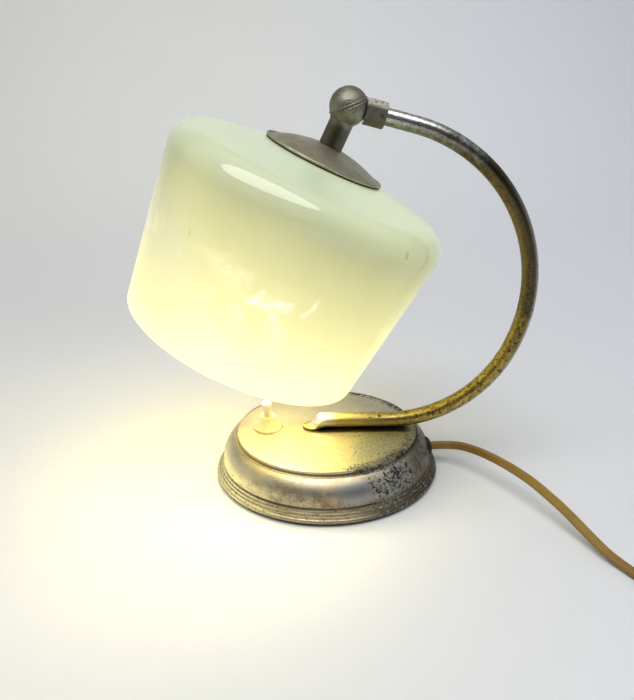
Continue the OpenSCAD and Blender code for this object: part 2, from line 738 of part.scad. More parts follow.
module ball_lower() {
    spigot_out_r = cavity_r + spigot_t / 2;
    color("gray") difference() {
        union() {
            difference() {
                union() {
                    intersection() {
                        union() {
                            translate(ball_c) sphere(r = ball_r);
                            at_head() cylinder(r = stem_r, h = stem_end);
                            translate(ball_c) pivot_marks();
                        }
                        at_seam() half_space(false);
                    }
                    at_seam() translate([0, 0, -bead_gap - seam_bead_r]) torus(ball_r, seam_bead_r);
                }
                translate(ball_c) sphere(r = cavity_r);
            }
            for (s = [-1, 1]) {
                intersection() {
                    translate(ball_c + [0, s * (lug_y + ball_r / 2), 0]) along_y(lug_r, ball_r);
                    translate(ball_c) sphere(r = cavity_r - free);
                }
                intersection() {
                    translate(ball_c + [0, s * (lug_y + ball_r / 2), 0]) along_y(lug_r, ball_r);
                    translate(ball_c) sphere(r = ball_r - ball_wall / 2);
                    at_seam() half_space(false);
                }
            }
        }
        at_seam() translate([0, 0, -spigot_h - fit])
            tube(spigot_out_r + fit, cavity_r - free, spigot_h + over);
        translate(ball_c) along_y(pivot_d / 2 + fit / 2, 2 * (cavity_r - over));
        neck_slot();
        at_head() translate([0, 0, lug_r]) cylinder(r = nipple_bore / 2, h = stem_end);
        at_head() translate([0, 0, nipple_z - fit]) cylinder(r = nipple_r + fit, h = stem_end);
    }
}

module ball_cap() {
    color("darkgray") difference() {
        union() {
            difference() {
                union() {
                    intersection() {
                        union() {
                            translate(ball_c) sphere(r = ball_r);
                            translate(ball_c) pivot_marks();
                        }
                        at_seam() half_space(true);
                    }
                    at_seam() translate([0, 0, bead_gap + seam_bead_r]) torus(ball_r, seam_bead_r);
                }
                translate(ball_c) sphere(r = cavity_r);
            }
            at_seam() translate([0, 0, -spigot_h])
                tube(cavity_r + spigot_t / 2, cavity_r - spigot_t / 3, spigot_h + over);
        }
        neck_slot();
    }
}

module pivot_pin() {
    color("silver") translate(ball_c) along_y(pivot_d / 2, 2 * (cavity_r - over - fit));
}

module knuckle_washers() {
    color("brown") for (s = [-1, 1])
        translate(ball_c + [0, s * (washer_y + washer_t / 2), 0]) rotate([90, 0, 0])
            translate([0, 0, -washer_t / 2]) tube(washer_r, pivot_d / 2 + fit, washer_t);
}

module stem_nipple() {
    color("goldenrod") at_head() translate([0, 0, nipple_z])
        tube(nipple_r, nipple_bore / 2, holder_z + holder_neck_h + over - nipple_z);
}

module shade_cap() {
    color("rosybrown") at_head() difference() {
        union() {
            intersection() {
                translate([0, 0, cap_z + cap_sphere_r]) difference() {
                    sphere(r = cap_sphere_r, $fn = dome_fn);
                    sphere(r = cap_in_r, $fn = dome_fn);
                }
                translate([0, 0, cap_z - over]) cylinder(r = cap_d, h = cap_h + over - cap_edge_r / 2);
            }
            translate([0, 0, cap_rim_z - cap_edge_r]) torus(cap_r - cap_edge_r, cap_edge_r);
        }
        cylinder(r = nipple_r + fit, h = cap_rim_z);
    }
}

module shade_gasket() {
    color("black") at_head() translate([0, 0, cap_rim_z])
        tube(cap_r - cap_edge_r / 2, cap_r - gasket_w, gasket_t);
}

// Outline corner moved inwards by the glass thickness
function inner_corner(a, b, c, t) =
    let (u = unit(a - b), v = unit(c - b), half = acos(u * v) / 2)
    b + unit(u + v) * t / sin(half);

module glass_shade() {
    foot = glass_z + shade_h;
    a = [glass_hole_r, glass_z];
    b = [glass_flat_r, glass_z];
    c = [shoulder_r, glass_z + shoulder_drop];
    d = [shade_foot_r, foot];
    e = [shade_foot_r - lip_fillet - over, foot];
    c_in = inner_corner(b, c, d, glass_t);
    d_in = inner_corner(c, d, e, glass_t);
    outer = concat([a, b], corner(b, c, d, shoulder_fillet, 8), corner(c, d, e, lip_fillet, 4), [e]);
    inner = concat(
        [e - [0, glass_t]],
        corner([0, d_in[1]], d_in, c_in, max(lip_fillet - glass_t, glass_t / 4), 3),
        corner(d_in, c_in, b + [0, glass_t], shoulder_fillet - glass_t, 8),
        [b + [0, glass_t], a + [0, glass_t]]
    );
    color("palegreen") at_head() rotate_extrude() polygon(concat(outer, inner));
}

module shade_ring() {
    color("saddlebrown") at_head() translate([0, 0, glass_z + glass_t])
        tube(shade_ring_d / 2, holder_r + fit, shade_ring_t);
}

module lampholder_cap() {
    crown_z = holder_z + holder_neck_h;
    color("saddlebrown") at_head() difference() {
        union() {
            translate([0, 0, holder_z]) cylinder(r = holder_neck_r, h = holder_neck_h);
            translate([0, 0, crown_z]) cylinder(r = holder_r, h = skirt_z - crown_z);
        }
        translate([0, 0, holder_z - over]) cylinder(r = nipple_r + fit, h = holder_cap_h);
        translate([0, 0, crown_z + holder_wall / 2]) cylinder(r = holder_in_r, h = holder_cap_h);
    }
}

module lampholder_skirt() {
    color("saddlebrown") at_head() translate([0, 0, skirt_z]) tube(holder_r, holder_in_r, skirt_l);
}

module lampholder_core() {
    hole_x = holder_in_r / 2;
    color("linen") at_head() translate([0, 0, core_z]) difference() {
        cylinder(r = holder_in_r - fit, h = core_h);
        for (s = [-1, 1]) translate([s * hole_x, 0, -over]) cylinder(r = lead_hole_r, h = core_h + 2 * over);
    }
}

module lampholder_thread() {
    color("gold") at_head() translate([0, 0, thread_z])
        tube(bulb_cap_r + shell_gap + shell_t, bulb_cap_r + shell_gap, shell_l);
}

module lampholder_contact() {
    color("gold") at_head() translate([0, 0, thread_z]) cylinder(r = bulb_tip_r / 2, h = contact_h);
}

module bulb_tip() {
    color("gray") at_head() translate([0, 0, bulb_tip_z]) cylinder(r = bulb_tip_r, h = bulb_tip_h);
}

module bulb_cap() {
    color("silver") at_head() translate([0, 0, bulb_cap_z]) difference() {
        union() {
            cylinder(r1 = bulb_tip_r + over, r2 = bulb_cap_r, h = bulb_cone_h);
            translate([0, 0, bulb_cone_h]) cylinder(r = bulb_cap_r, h = bulb_cap_l - bulb_cone_h);
        }
        translate([0, 0, bulb_cone_h + over]) cylinder(r = bulb_neck_r + fit, h = bulb_cap_l);
    }
}

module bulb_glass() {
    c = [0, bulb_glass_z + bulb_l - bulb_r];
    p = [bulb_neck_r, bulb_glass_z + bulb_root];
    touch = atan2(p[1] - c[1], p[0]) + acos(bulb_r / norm(p - c));
    color("white") at_head() rotate_extrude() polygon(concat(
        [[bulb_neck_r, bulb_glass_z - bulb_root], p],
        arc(c, bulb_r, touch, 90, 12),
        arc(c, bulb_r - bulb_wall, 90, touch, 12),
        [p - [bulb_wall, 0], [bulb_neck_r - bulb_wall, bulb_glass_z - bulb_root]]
    ));
}

module head_lead() {
    color("ivory") at_head() translate([0, 0, nipple_z - over])
        cylinder(r = lead_r, h = core_z - nipple_z + over);
}

module switch_collar() {
    color("khaki") at_switch() translate([0, 0, plate_z]) difference() {
        cylinder(r1 = collar_foot_r, r2 = collar_top_r, h = collar_h);
        translate([0, 0, -over]) cylinder(r = bush_r + fit, h = collar_h + 2 * over);
    }
}

module switch_bush() {
    color("goldenrod") at_switch() difference() {
        union() {
            translate([0, 0, body_top]) cylinder(r = bush_r, h = bush_top - body_top);
            translate([0, 0, body_top]) cylinder(r = bush_flange_r, h = bush_flange_t);
        }
        translate([0, 0, body_top - over]) cylinder(r = bush_bore_r, h = bush_top - body_top + 2 * over);
        translate([0, 0, pivot_z]) rotate([0, 90, 0])
            cylinder(r = pin_r + fit / 2, h = 2 * bush_r + over, center = true);
    }
}

module switch_body() {
    color("black") at_switch() difference() {
        translate([0, 0, body_z]) cylinder(r = switch_body_r, h = switch_body_h);
        translate([0, 0, body_z + body_wall]) cylinder(r = switch_body_r - body_wall, h = switch_body_h);
        for (s = [-1, 1]) translate([0, s * (terminal_y + terminal_t / 2), body_z])
            cube([terminal_w + 2 * fit, terminal_t + 2 * fit, 2 * body_wall + over], center = true);
    }
}

module switch_terminals() {
    terminal_l = pivot_z - tail_l * cos(lever_lean) + wiper_h - body_z + over;
    color("gold") at_switch() for (s = [-1, 1])
        translate([-terminal_w / 2, s * (terminal_y + terminal_t / 2) - terminal_t / 2, body_z - over])
            cube([terminal_w, terminal_t, terminal_l]);
}

module switch_pin() {
    color("silver") at_switch() translate([0, 0, pivot_z]) rotate([0, 90, 0])
        cylinder(r = pin_r, h = 2 * bush_r, center = true);
}

module switch_lever() {
    knob_z = lever_l - lever_knob_r;
    flare_z = collar_h - lever_pivot_h + over;
    color("cornsilk") at_lever() difference() {
        union() {
            sphere(r = lever_ball_r);
            translate([0, 0, -tail_l]) cylinder(r = tail_r, h = tail_l);
            cylinder(r = lever_stem_r, h = flare_z);
            translate([0, 0, flare_z]) cylinder(r1 = lever_stem_r, r2 = lever_knob_r, h = knob_z - flare_z);
            translate([0, 0, knob_z]) sphere(r = lever_knob_r);
        }
        rotate([0, 90, 0]) cylinder(r = pin_r + fit, h = 2 * bush_r, center = true);
    }
}

module switch_blade() {
    color("gold") at_lever() translate([0, 0, -tail_l]) tube(wiper_r, tail_r + fit, wiper_h);
}

module cord_grommet() {
    head_l = 2;
    color("black") difference() {
        union() {
            difference() {
                translate([0, 0, cord_z]) {
                    along_x(grommet_in_x, grommet_face_x - head_l, grommet_r);
                    translate([grommet_face_x - head_l, 0, 0]) rotate([0, 90, 0])
                        cylinder(r1 = grommet_r, r2 = grommet_nose_r, h = head_l);
                }
                translate([fit, 0, 0]) rotate_extrude() polygon(base_outline);
            }
            translate([0, 0, cord_z]) along_x(grommet_in_x, grommet_face_x - head_l, grommet_neck_r - fit);
        }
        translate([0, 0, cord_z]) along_x(grommet_in_x - over, grommet_face_x + over, grommet_bore_r);
    }
}

module cord_clamp() {
    color("dimgray") difference() {
        union() {
            translate([clamp_x - clamp_w / 2, -clamp_l / 2, weight_top]) cube([clamp_w, clamp_l, clamp_t]);
            translate([clamp_x - clamp_w / 2, -cord_w / 2, cord_z + cord_t / 2 + fit])
                cube([clamp_w, cord_w, weight_top - cord_z - cord_t / 2]);
        }
        at_clamp_screws() translate([0, 0, weight_top - over])
            cylinder(r = clamp_screw_r + fit, h = clamp_t + 2 * over);
    }
}

module clamp_screws() {
    head_h = 1.6;
    color("silver") at_clamp_screws() {
        translate([0, 0, weight_top - weight_h / 2]) cylinder(r = clamp_screw_r, h = weight_h / 2 + clamp_t);
        translate([0, 0, weight_top + clamp_t]) cylinder(r = clamp_screw_r + over, h = head_h);
    }
}

module base_lead() {
    stop = [lead_x, 2, lead_z, 90];
    color("peru") skin(level_rings(concat(inner_route, [stop]), cord_section));
}

module arm_lead() {
    color("ivory") skin(upright_rings(lead_route, flat_section(8, lead_r, lead_r)));
}

module mains_cord() {
    color("peru") skin(level_rings(full_route, cord_section));
}

module cord_coil() {
    color("peru") skin(level_rings(coil_points, flat_section(coil_sides, cord_w / 2, cord_t / 2)));
}

module cord_tie() {
    slack = 0.6;
    r_out = coil_radius(tie_turn) + cord_t / 2 + slack;
    r_in = coil_radius(loops_per_layer - 1 + tie_turn) - cord_t / 2 - slack;
    height = layer_step + cord_w + 2 * tie_t + 0.4;
    color("white") translate([coil_c[0], coil_c[1], 0]) rotate(tie_angle) difference() {
        translate([r_in - tie_t, -tie_w / 2, 0]) cube([r_out - r_in + 2 * tie_t, tie_w, height]);
        translate([r_in, -tie_w, tie_t]) cube([r_out - r_in, 2 * tie_w, height - 2 * tie_t]);
    }
}

module plug_body() {
    color("black") at_plug() {
        cylinder(r1 = boot_r, r2 = plug_waist_r, h = boot_l);
        translate([0, 0, boot_l]) cylinder(r1 = plug_waist_r, r2 = plug_r, h = plug_l / 3);
        translate([0, 0, boot_l + plug_l / 3]) cylinder(r = plug_r, h = 2 * plug_l / 3);
    }
}

module plug_blades() {
    color("gold") at_plug() for (s = [-1, 1])
        translate([-blade_w / 2, s * blade_pitch / 2 - blade_t / 2, boot_l + plug_l])
            cube([blade_w, blade_t, blade_l]);
}

felt_pad();
base_cover();
cover_screws();
cover_posts();
base_weight();
base_shell();
arm_tube();
arm_backing_bar();
arm_screws();
hex_nut();
nut_grub_screw();
knuckle_neck();
neck_lead();
ball_lower();
ball_cap();
pivot_pin();
knuckle_washers();
stem_nipple();
shade_cap();
shade_gasket();
glass_shade();
shade_ring();
lampholder_cap();
lampholder_skirt();
lampholder_core();
lampholder_thread();
lampholder_contact();
bulb_cap();
bulb_tip();
bulb_glass();
head_lead();
switch_collar();
switch_bush();
switch_body();
switch_terminals();
switch_pin();
switch_lever();
switch_blade();
cord_grommet();
cord_clamp();
clamp_screws();
base_lead();
arm_lead();
mains_cord();
cord_coil();
cord_tie();
plug_body();
plug_blades();
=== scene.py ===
import json
from math import acos, asin, atan2, cos, degrees, hypot, pi, radians, sin, sqrt, tan

import bmesh
import bpy
from mathutils import Matrix, Vector


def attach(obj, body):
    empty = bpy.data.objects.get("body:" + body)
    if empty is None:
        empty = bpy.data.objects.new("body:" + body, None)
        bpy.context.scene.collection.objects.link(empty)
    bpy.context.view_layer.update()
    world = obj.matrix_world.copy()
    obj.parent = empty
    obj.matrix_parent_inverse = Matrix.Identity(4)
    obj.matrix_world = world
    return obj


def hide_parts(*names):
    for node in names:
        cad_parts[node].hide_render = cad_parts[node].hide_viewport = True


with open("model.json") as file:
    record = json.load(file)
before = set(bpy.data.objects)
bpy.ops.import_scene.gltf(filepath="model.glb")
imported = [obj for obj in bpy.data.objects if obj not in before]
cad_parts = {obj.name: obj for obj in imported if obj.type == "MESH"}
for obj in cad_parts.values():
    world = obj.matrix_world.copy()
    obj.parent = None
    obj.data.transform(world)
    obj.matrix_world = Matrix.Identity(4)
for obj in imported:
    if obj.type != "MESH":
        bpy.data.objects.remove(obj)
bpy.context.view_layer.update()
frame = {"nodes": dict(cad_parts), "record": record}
nodes = frame["nodes"]
MM = 0.001
TURN = 2 * pi

# Camera, placed as the photograph was taken

IMAGE = (634, 700)
FOCAL_PX = 745.79
SENSOR = 36.0
NEAREST = 0.01
EYE = (-0.00002, -0.43701, 0.25127)
RIGHT = (0.9998, 0.0050, -0.0171)
UP = (0.0141, 0.3603, 0.9327)
BACK = (0.0108, -0.9328, 0.3602)


def make_camera():
    data = bpy.data.cameras.new("photo_camera")
    data.sensor_width = SENSOR
    data.lens = FOCAL_PX * SENSOR / max(IMAGE)
    data.clip_start = NEAREST
    camera = bpy.data.objects.new("photo_camera", data)
    axes = Matrix((RIGHT, UP, BACK)).transposed().to_4x4()
    camera.matrix_world = Matrix.Translation(EYE) @ axes
    bpy.context.scene.collection.objects.link(camera)
    bpy.context.scene.camera = camera


make_camera()

# Mesh building: every size is in millimetres, as in the part's source

SHARP = 40.0
WELD = 1e-7
CORNER_SHARE = 0.45
NEARLY_STRAIGHT = 86


def smooth(x):
    x = min(max(x, 0.0), 1.0)
    return x * x * (3 - 2 * x)


def lerp(a, b, t):
    return a + (b - a) * t


def turns(n):
    """Angles of n even steps round a circle."""
    return [TURN * k / n for k in range(n)]


def arc(c, r, a0, a1, n):
    """Points of an arc in the plane of a profile, in degrees."""
    angles = [radians(lerp(a0, a1, i / n)) for i in range(n + 1)]
    return [(c[0] + r * cos(a), c[1] + r * sin(a)) for a in angles]


def corner(a, b, c, r, n):
    """Rounded corner at b between a and c."""
    a, b, c = Vector(a), Vector(b), Vector(c)
    u, v = (a - b).normalized(), (c - b).normalized()
    half = u.angle(v) / 2
    o = b + (u + v).normalized() * (r / sin(half))
    p, q = b + u * (r / tan(half)) - o, b + v * (r / tan(half)) - o
    start = atan2(p.y, p.x)
    turn = atan2(p.x * q.y - p.y * q.x, p.dot(q))
    return arc(o, r, degrees(start), degrees(start + turn), n)


def rounded(points, r, n=3):
    """An open profile with its inner corners rounded."""
    out = [points[0]]
    for a, b, c in zip(points, points[1:], points[2:]):
        before, after = Vector(a) - Vector(b), Vector(c) - Vector(b)
        reach = CORNER_SHARE * min(before.length, after.length)
        half = before.angle(after) / 2
        if half > radians(NEARLY_STRAIGHT):
            out.append(b)
        else:
            out += corner(a, b, c, min(r, reach * tan(half)), n)
    return out + [points[-1]]


def new_object(name, rings, faces, sharp=SHARP):
    """A mesh object over rings of points, smooth but for the edges over a given angle."""
    mesh = bpy.data.meshes.new(name)
    mesh.from_pydata([Vector(p) * MM for ring in rings for p in ring], [], faces)
    shape = bmesh.new()
    shape.from_mesh(mesh)
    bmesh.ops.remove_doubles(shape, verts=shape.verts, dist=WELD)
    bmesh.ops.recalc_face_normals(shape, faces=shape.faces)
    for face in shape.faces:
        face.smooth = True
    for edge in shape.edges:
        edge.smooth = len(edge.link_faces) == 2 and edge.calc_face_angle(0) < radians(sharp)
    shape.to_mesh(mesh)
    shape.free()
    piece = bpy.data.objects.new(name, mesh)
    bpy.context.scene.collection.objects.link(piece)
    return piece


def bands(count, n, closed):
    """Quads between rings of n points each."""
    last = count if closed else count - 1
    return [(i * n + j, i * n + (j + 1) % n, (i + 1) % count * n + (j + 1) % n, (i + 1) % count * n + j)
            for i in range(last) for j in range(n)]


def tube_faces(count, n):
    """Faces of a tube over rings of n points, with a cap at each end."""
    last = (count - 1) * n
    return bands(count, n, False) + [tuple(range(n))[::-1], tuple(range(last, last + n))]


def skinned(name, rings, sharp=SHARP):
    """A capped tube over rings that have the same number of points."""
    return new_object(name, rings, tube_faces(len(rings), len(rings[0])), sharp)


def looped(name, rings, sharp=SHARP):
    """A skin over rings whose last one joins the first."""
    return new_object(name, rings, bands(len(rings), len(rings[0]), True), sharp)


def turned(name, profile, place=Matrix(), steps=128, sharp=SHARP):
    """A closed profile of (radius, height) turned about the axis of its place."""
    rings = []
    for r, z in profile:
        rings.append([place @ Vector((r * cos(a), r * sin(a), z)) for a in turns(steps)])
    return looped(name, rings, sharp)


def placed(at, angle, axis):
    """Place at a point, turned by some degrees about one axis."""
    return Matrix.Translation(at) @ Matrix.Rotation(radians(angle), 4, axis)


dressed = []


def hand_over(piece, body, slot, *replaced):
    """Name a piece's body, the solids it stands for and its slot, whose finish it gets later."""
    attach(piece, body)
    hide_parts(*replaced)
    dressed.append((piece, slot))


# Places shared with the part's source

SHADE_TILT = 26.0
END_TILT = 15.5
BALL = Vector((15.126, 0.0, 227.984))
HEAD = placed(BALL, 180 + SHADE_TILT, "Y")
HEAD_WAY = HEAD.to_3x3() @ Vector((0, 0, 1))
NECK_WAY = Vector((cos(radians(END_TILT)), 0, -sin(radians(END_TILT))))
SWITCH_X = -38.0
PLATE_Z = 28.5
PLATE_R = 58.0
CORE_R = 0.02

# Mains cord: from the grommet over the table to a tied coil that lies outside the view.
# A route's points are x, y, z and twist; a twist of 90 degrees stands the cord's width up.

CORD_W = 5.5
CORD_T = 3.3
CORD_Z = 14.0
GROOVE = 0.62
EXIT_X = 68.0
UPRIGHT = 90
NEARLY_UPRIGHT = 80
ROUTE = [
    (EXIT_X, 0, CORD_Z, 90), (81, 0, CORD_Z, 86), (89, -4, 15, 80), (97, -11, 15.5, 74), (104, -20, 16, 68),
    (111, -30, 16, 62), (117.5, -40, 15.5, 55), (123.5, -50, 14.5, 48), (129, -61, 13, 41),
    (134.5, -72, 11, 34), (139.5, -83, 8.6, 27), (144.5, -94, 6, 20), (149.5, -104, 3.8, 12),
    (155, -113, 2.5, 5), (160, -122, 2.3, 10), (164.5, -131.5, 2.6, 30), (169.5, -141.5, 3.2, 55),
]
ROUTE_POINTS = 6
COIL_C = (218.0, -140.0)
COIL_START = 214.0
COIL_R = 40.0
COIL_TURNS = 8.5
COIL_Z = 3.75
LOOP_PITCH = 4.8
LAYER_STEP = 7.2
CLIMB_TURNS = 0.5
LOOP_POINTS = 48
RUN_IN = 8.0
LEAD_OUT = 16.0
TAIL_POINTS = 4
NUDGE = 0.001


def coil_radius(t):
    return COIL_R - LOOP_PITCH * min(t, COIL_TURNS - t)


def coil_point(t):
    """Point of the coil after t turns: inwards in the lower layer, then outwards in the upper one."""
    a = radians(COIL_START + 360 * t)
    z = COIL_Z + LAYER_STEP * smooth((t - COIL_TURNS / 2) / CLIMB_TURNS + 0.5)
    return Vector((COIL_C[0] + coil_radius(t) * cos(a), COIL_C[1] + coil_radius(t) * sin(a), z))


def spline(a, b, c, d, t):
    """Value between b and c on a smooth curve through a, b, c and d."""
    square, cube = 2 * a - 5 * b + 4 * c - d, 3 * b - a - 3 * c + d
    return 0.5 * (2 * b + (c - a) * t + square * t * t + cube * t ** 3)


def curve_through(points, per_span):
    """Points of a smooth curve through the given ones, of any number of values each."""
    out = []
    for i in range(len(points) - 1):
        four = points[max(i - 1, 0)], points[i], points[i + 1], points[min(i + 2, len(points) - 1)]
        for k in range(per_span):
            out.append(tuple(spline(*values, k / per_span) for values in zip(*four)))
    return out + [tuple(points[-1])]


def twin_section(n=10):
    """Outline of a flat twin flex: two round cores side by side with a groove between them."""
    core = CORD_T / 2
    apart = CORD_W / 2 - core
    edge = degrees(acos(GROOVE * apart / core))
    right = arc((apart, 0), core, edge - 180, 180 - edge, n)
    return right + [(-x, -y) for x, y in right]


def swept_flat(points, section):
    """Rings of a section along points of x, y, z and twist."""
    rings = []
    for i, p in enumerate(points):
        ahead = Vector(points[min(i + 1, len(points) - 1)][:3])
        way = (ahead - Vector(points[max(i - 1, 0)][:3])).normalized()
        side = Vector((0, 0, 1)).cross(way).normalized()
        over = way.cross(side)
        c, s = cos(radians(p[3])), sin(radians(p[3]))
        rings.append([Vector(p[:3]) + side * (x * c - y * s) + over * (x * s + y * c) for x, y in section])
    return rings


def cord_line():
    """Points of the whole cord, with the place and the way of its far end."""
    way_in = (coil_point(NUDGE) - coil_point(0)).normalized()
    coil_in = coil_point(0) - CORD_W * way_in
    lead_in = ROUTE + [(*(coil_in - RUN_IN * way_in), NEARLY_UPRIGHT), (*coil_in, UPRIGHT)]
    loops = [(*coil_point(i / LOOP_POINTS), UPRIGHT) for i in range(int(COIL_TURNS * LOOP_POINTS) + 1)]
    end = coil_point(COIL_TURNS)
    way_out = (end - coil_point(COIL_TURNS - NUDGE)).normalized()
    tail = [(*(end + way_out * LEAD_OUT * k / TAIL_POINTS), UPRIGHT) for k in range(1, TAIL_POINTS + 1)]
    return curve_through(lead_in, ROUTE_POINTS)[:-1] + loops + tail, end + way_out * LEAD_OUT, way_out


cord_path, plug_at, plug_way = cord_line()
mains_cord = skinned("mains_flex", swept_flat(cord_path, twin_section()), sharp=60)

# Plug on the cord's far end

MOUTH_R = 2.9
BOOT_L = 20.0
BOOT_R = 3.6
RIBS = 7
RIB_GAP = 0.15
RIB_DEEP = 0.9
PLUG_L = 28.0
PLUG_R = COIL_Z + LAYER_STEP
PLUG_WAIST = 7.0
GROOVES = 4
GROOVE_PITCH = 3.0
GROOVE_DEEP = 0.55
PLUG_CORE = 0.05
PLUG = Matrix.Translation(plug_at) @ plug_way.to_track_quat("Z", "X").to_matrix().to_4x4()


def plug_profile():
    """A ribbed boot, a waist and a grip with grooves."""
    out = [(MOUTH_R, 0.0), (BOOT_R, 0.3)]
    for i in range(RIBS):
        z0, z1 = BOOT_L * (i + RIB_GAP) / RIBS, BOOT_L * (i + 1 - RIB_GAP) / RIBS
        r0, r1 = (lerp(BOOT_R, PLUG_WAIST, z / BOOT_L) for z in (z0, z1))
        out += [(r0, z0), (r0 + 0.1, z0 + 0.3), (r1, z1 - 0.4)]
        out += [(r1 - RIB_DEEP, z1), (r1 - RIB_DEEP + 0.1, z1 + 0.5)]
    out += [(PLUG_WAIST, BOOT_L), (PLUG_WAIST + 1.2, BOOT_L + 2)]
    grip = BOOT_L + PLUG_L / 3
    out += [(PLUG_R - 0.5, grip - 0.6), (PLUG_R, grip + 0.6)]
    floor = PLUG_R - GROOVE_DEEP
    for i in range(GROOVES):
        z = grip + 2.6 + GROOVE_PITCH * i
        out += [(PLUG_R, z), (floor, z + 0.45), (floor, z + 1.05), (PLUG_R, z + GROOVE_PITCH / 2)]
    end = BOOT_L + PLUG_L
    out += [(PLUG_R, end - 1.2), (PLUG_R - 0.35, end - 0.35), (PLUG_R - 1.2, end)]
    return out + [(PLUG_CORE, end), (PLUG_CORE, 0.0)]


plug_body = turned("ribbed_plug", plug_profile(), PLUG, steps=72)

# Tie round the coil

TIE_TURN = 0.75
LOOPS_PER_LAYER = 4
TIE_W = 7.0
TIE_T = 0.8
TIE_SLACK = 0.6
TIE_LIFT = 0.4
TIE_ROUND = 1.6


def tie_rings():
    """A strap with rounded corners round the coil's section."""
    spare = CORD_T / 2 + TIE_SLACK + TIE_T / 2
    r_out = coil_radius(TIE_TURN) + spare
    r_in = coil_radius(LOOPS_PER_LAYER - 1 + TIE_TURN) - spare
    low, high = TIE_T / 2, LAYER_STEP + CORD_W + 1.5 * TIE_T + TIE_LIFT
    box = [(r_out, low), (r_out, high), (r_in, high), (r_in, low)]
    loop = []
    for i in range(4):
        loop += corner(box[i - 1], box[i], box[(i + 1) % 4], TIE_ROUND, 5)
    section = [(-TIE_T / 2, w) for w in (-1, 0, 1)] + [(TIE_T / 2, w) for w in (1, 0, -1)]
    turn = placed((*COIL_C, 0), COIL_START + 360 * TIE_TURN, "Z")
    rings = []
    for i, p in enumerate(loop):
        a, b = Vector(loop[i - 1]), Vector(loop[(i + 1) % len(loop)])
        out = Vector((b.y - a.y, a.x - b.x)).normalized()
        ring = [Vector((p[0] + out.x * t, w * TIE_W / 2, p[1] + out.y * t)) for t, w in section]
        rings.append([turn @ point for point in ring])
    return rings


cord_tie = looped("coil_strap", tie_rings())

hand_over(plug_body, "base", "black_plastic", "plug_body")
hand_over(cord_tie, "base", "tie_white", "cord_tie")
hand_over(mains_cord, "base", "cord_brown", "mains_cord", "cord_coil")

# Base shell: rolled rim, ringed foot, barrel, bead and plate

BASE_R = 72.0
RIM_R = 1.4
RIM_Z = 3.1
WALL = 1.2
TREADS = 3
TREAD_IN = 0.15
TREAD_UP = 0.7
TOP_TREAD = 1.0
FOOT_ROUND = 0.28
LAP = 0.2
BARREL_R = 67.6
BARREL_Z = 10.5
BARREL_C = (49.39, 10.5)
BARREL_ARC = 18.21
BARREL_TURN = 54.36
BEAD_C = (59.2, 25.3)
BEAD_R = 0.6
PLATE_ROUND = 0.55
PLATE_FLARE = 0.04
PLATE_FOOT = 0.3
PLATE_POINTS = 12


def base_profile():
    """Up the outside from under the rim to the plate's middle, then back along the inside."""
    foot_z = RIM_Z + RIM_R
    out_r = BASE_R - RIM_R + LAP
    tread, rise = (out_r - BARREL_R) / TREADS, (BARREL_Z - TOP_TREAD - foot_z) / TREADS
    steps = [(out_r - (i + TREAD_IN * top) * tread, foot_z + (i + TREAD_UP * top) * rise)
             for i in range(TREADS) for top in (0, 1)]
    rim = arc((BASE_R - RIM_R, RIM_Z), RIM_R, -90, 50, 14)
    foot = rounded([rim[-1]] + steps + [(BARREL_R, BARREL_Z - LAP)], FOOT_ROUND, 4)
    outer = rim + foot[1:] + arc(BARREL_C, BARREL_ARC, 0, BARREL_TURN, 40)
    outer += arc(BEAD_C, BEAD_R, -10, 180, 12)
    outer += [(PLATE_R + LAP, BEAD_C[1]), (PLATE_R + PLATE_FLARE, BEAD_C[1] + PLATE_FOOT)]
    outer += arc((PLATE_R - PLATE_ROUND, PLATE_Z - PLATE_ROUND), PLATE_ROUND, 0, 90, 6)
    outer += [(PLATE_R * k / PLATE_POINTS, PLATE_Z) for k in range(PLATE_POINTS - 1, 0, -1)]
    outer.append((CORE_R, PLATE_Z))
    inside = BASE_R - 2 * RIM_R - WALL
    under = PLATE_Z - WALL
    top_z = BARREL_C[1] + (BARREL_ARC - WALL) * sin(radians(BARREL_TURN))
    inner = [(CORE_R, under), (PLATE_R - WALL, under), (PLATE_R - WALL, top_z)]
    inner += arc(BARREL_C, BARREL_ARC - WALL, BARREL_TURN, 0, 12)
    return outer + inner + [(inside, foot_z), (inside, RIM_Z - RIM_R)]


hand_over(turned("spun_base", base_profile(), steps=192, sharp=32), "base", "base_nickel", "base_shell")

# Arm: a tube squashed shut at its nose, bent in two arcs up to the hex nut

TUBE_R = 5.0
BORE_R = 4.0
RUN_Z = 33.55
RUN_X = 40.0
NOSE_X = 0.5
RUN_POINTS = (NOSE_X, 2, 8, 16, 24, 32)
LOW_R = 83.0
LOW_TURN = 64.0
LOW_POINTS = 24
HIGH_R = 98.0
HIGH_C = (26.52, 123.13)
HIGH_POINTS = 40
END_STRAIGHT = 23.0
NOSE_L = 10.2
NOSE_DROP = 0.80
NOSE_STEEP = 5.5
NOSE_RINGS = 40
SHORT_OF_TIP = 0.999
SQUASHED_BY = 0.8
DOME_END = 0.55
DOME_SIDE = 0.85
TIP_X = -15.2
LIP_T = 1.4
LIP_FLOOR = 0.05
LIP_EDGE = 3
LIP_WIDE = 6.2
LIP_ROUND = 6.2
LIP_CURL = 0.5
TUBE_SIDES = 40


def on_bend(centre, r, heading):
    """Point of a bend where its line has a given heading, in degrees."""
    h = radians(heading)
    return centre.x + r * sin(h), centre.y - r * cos(h)


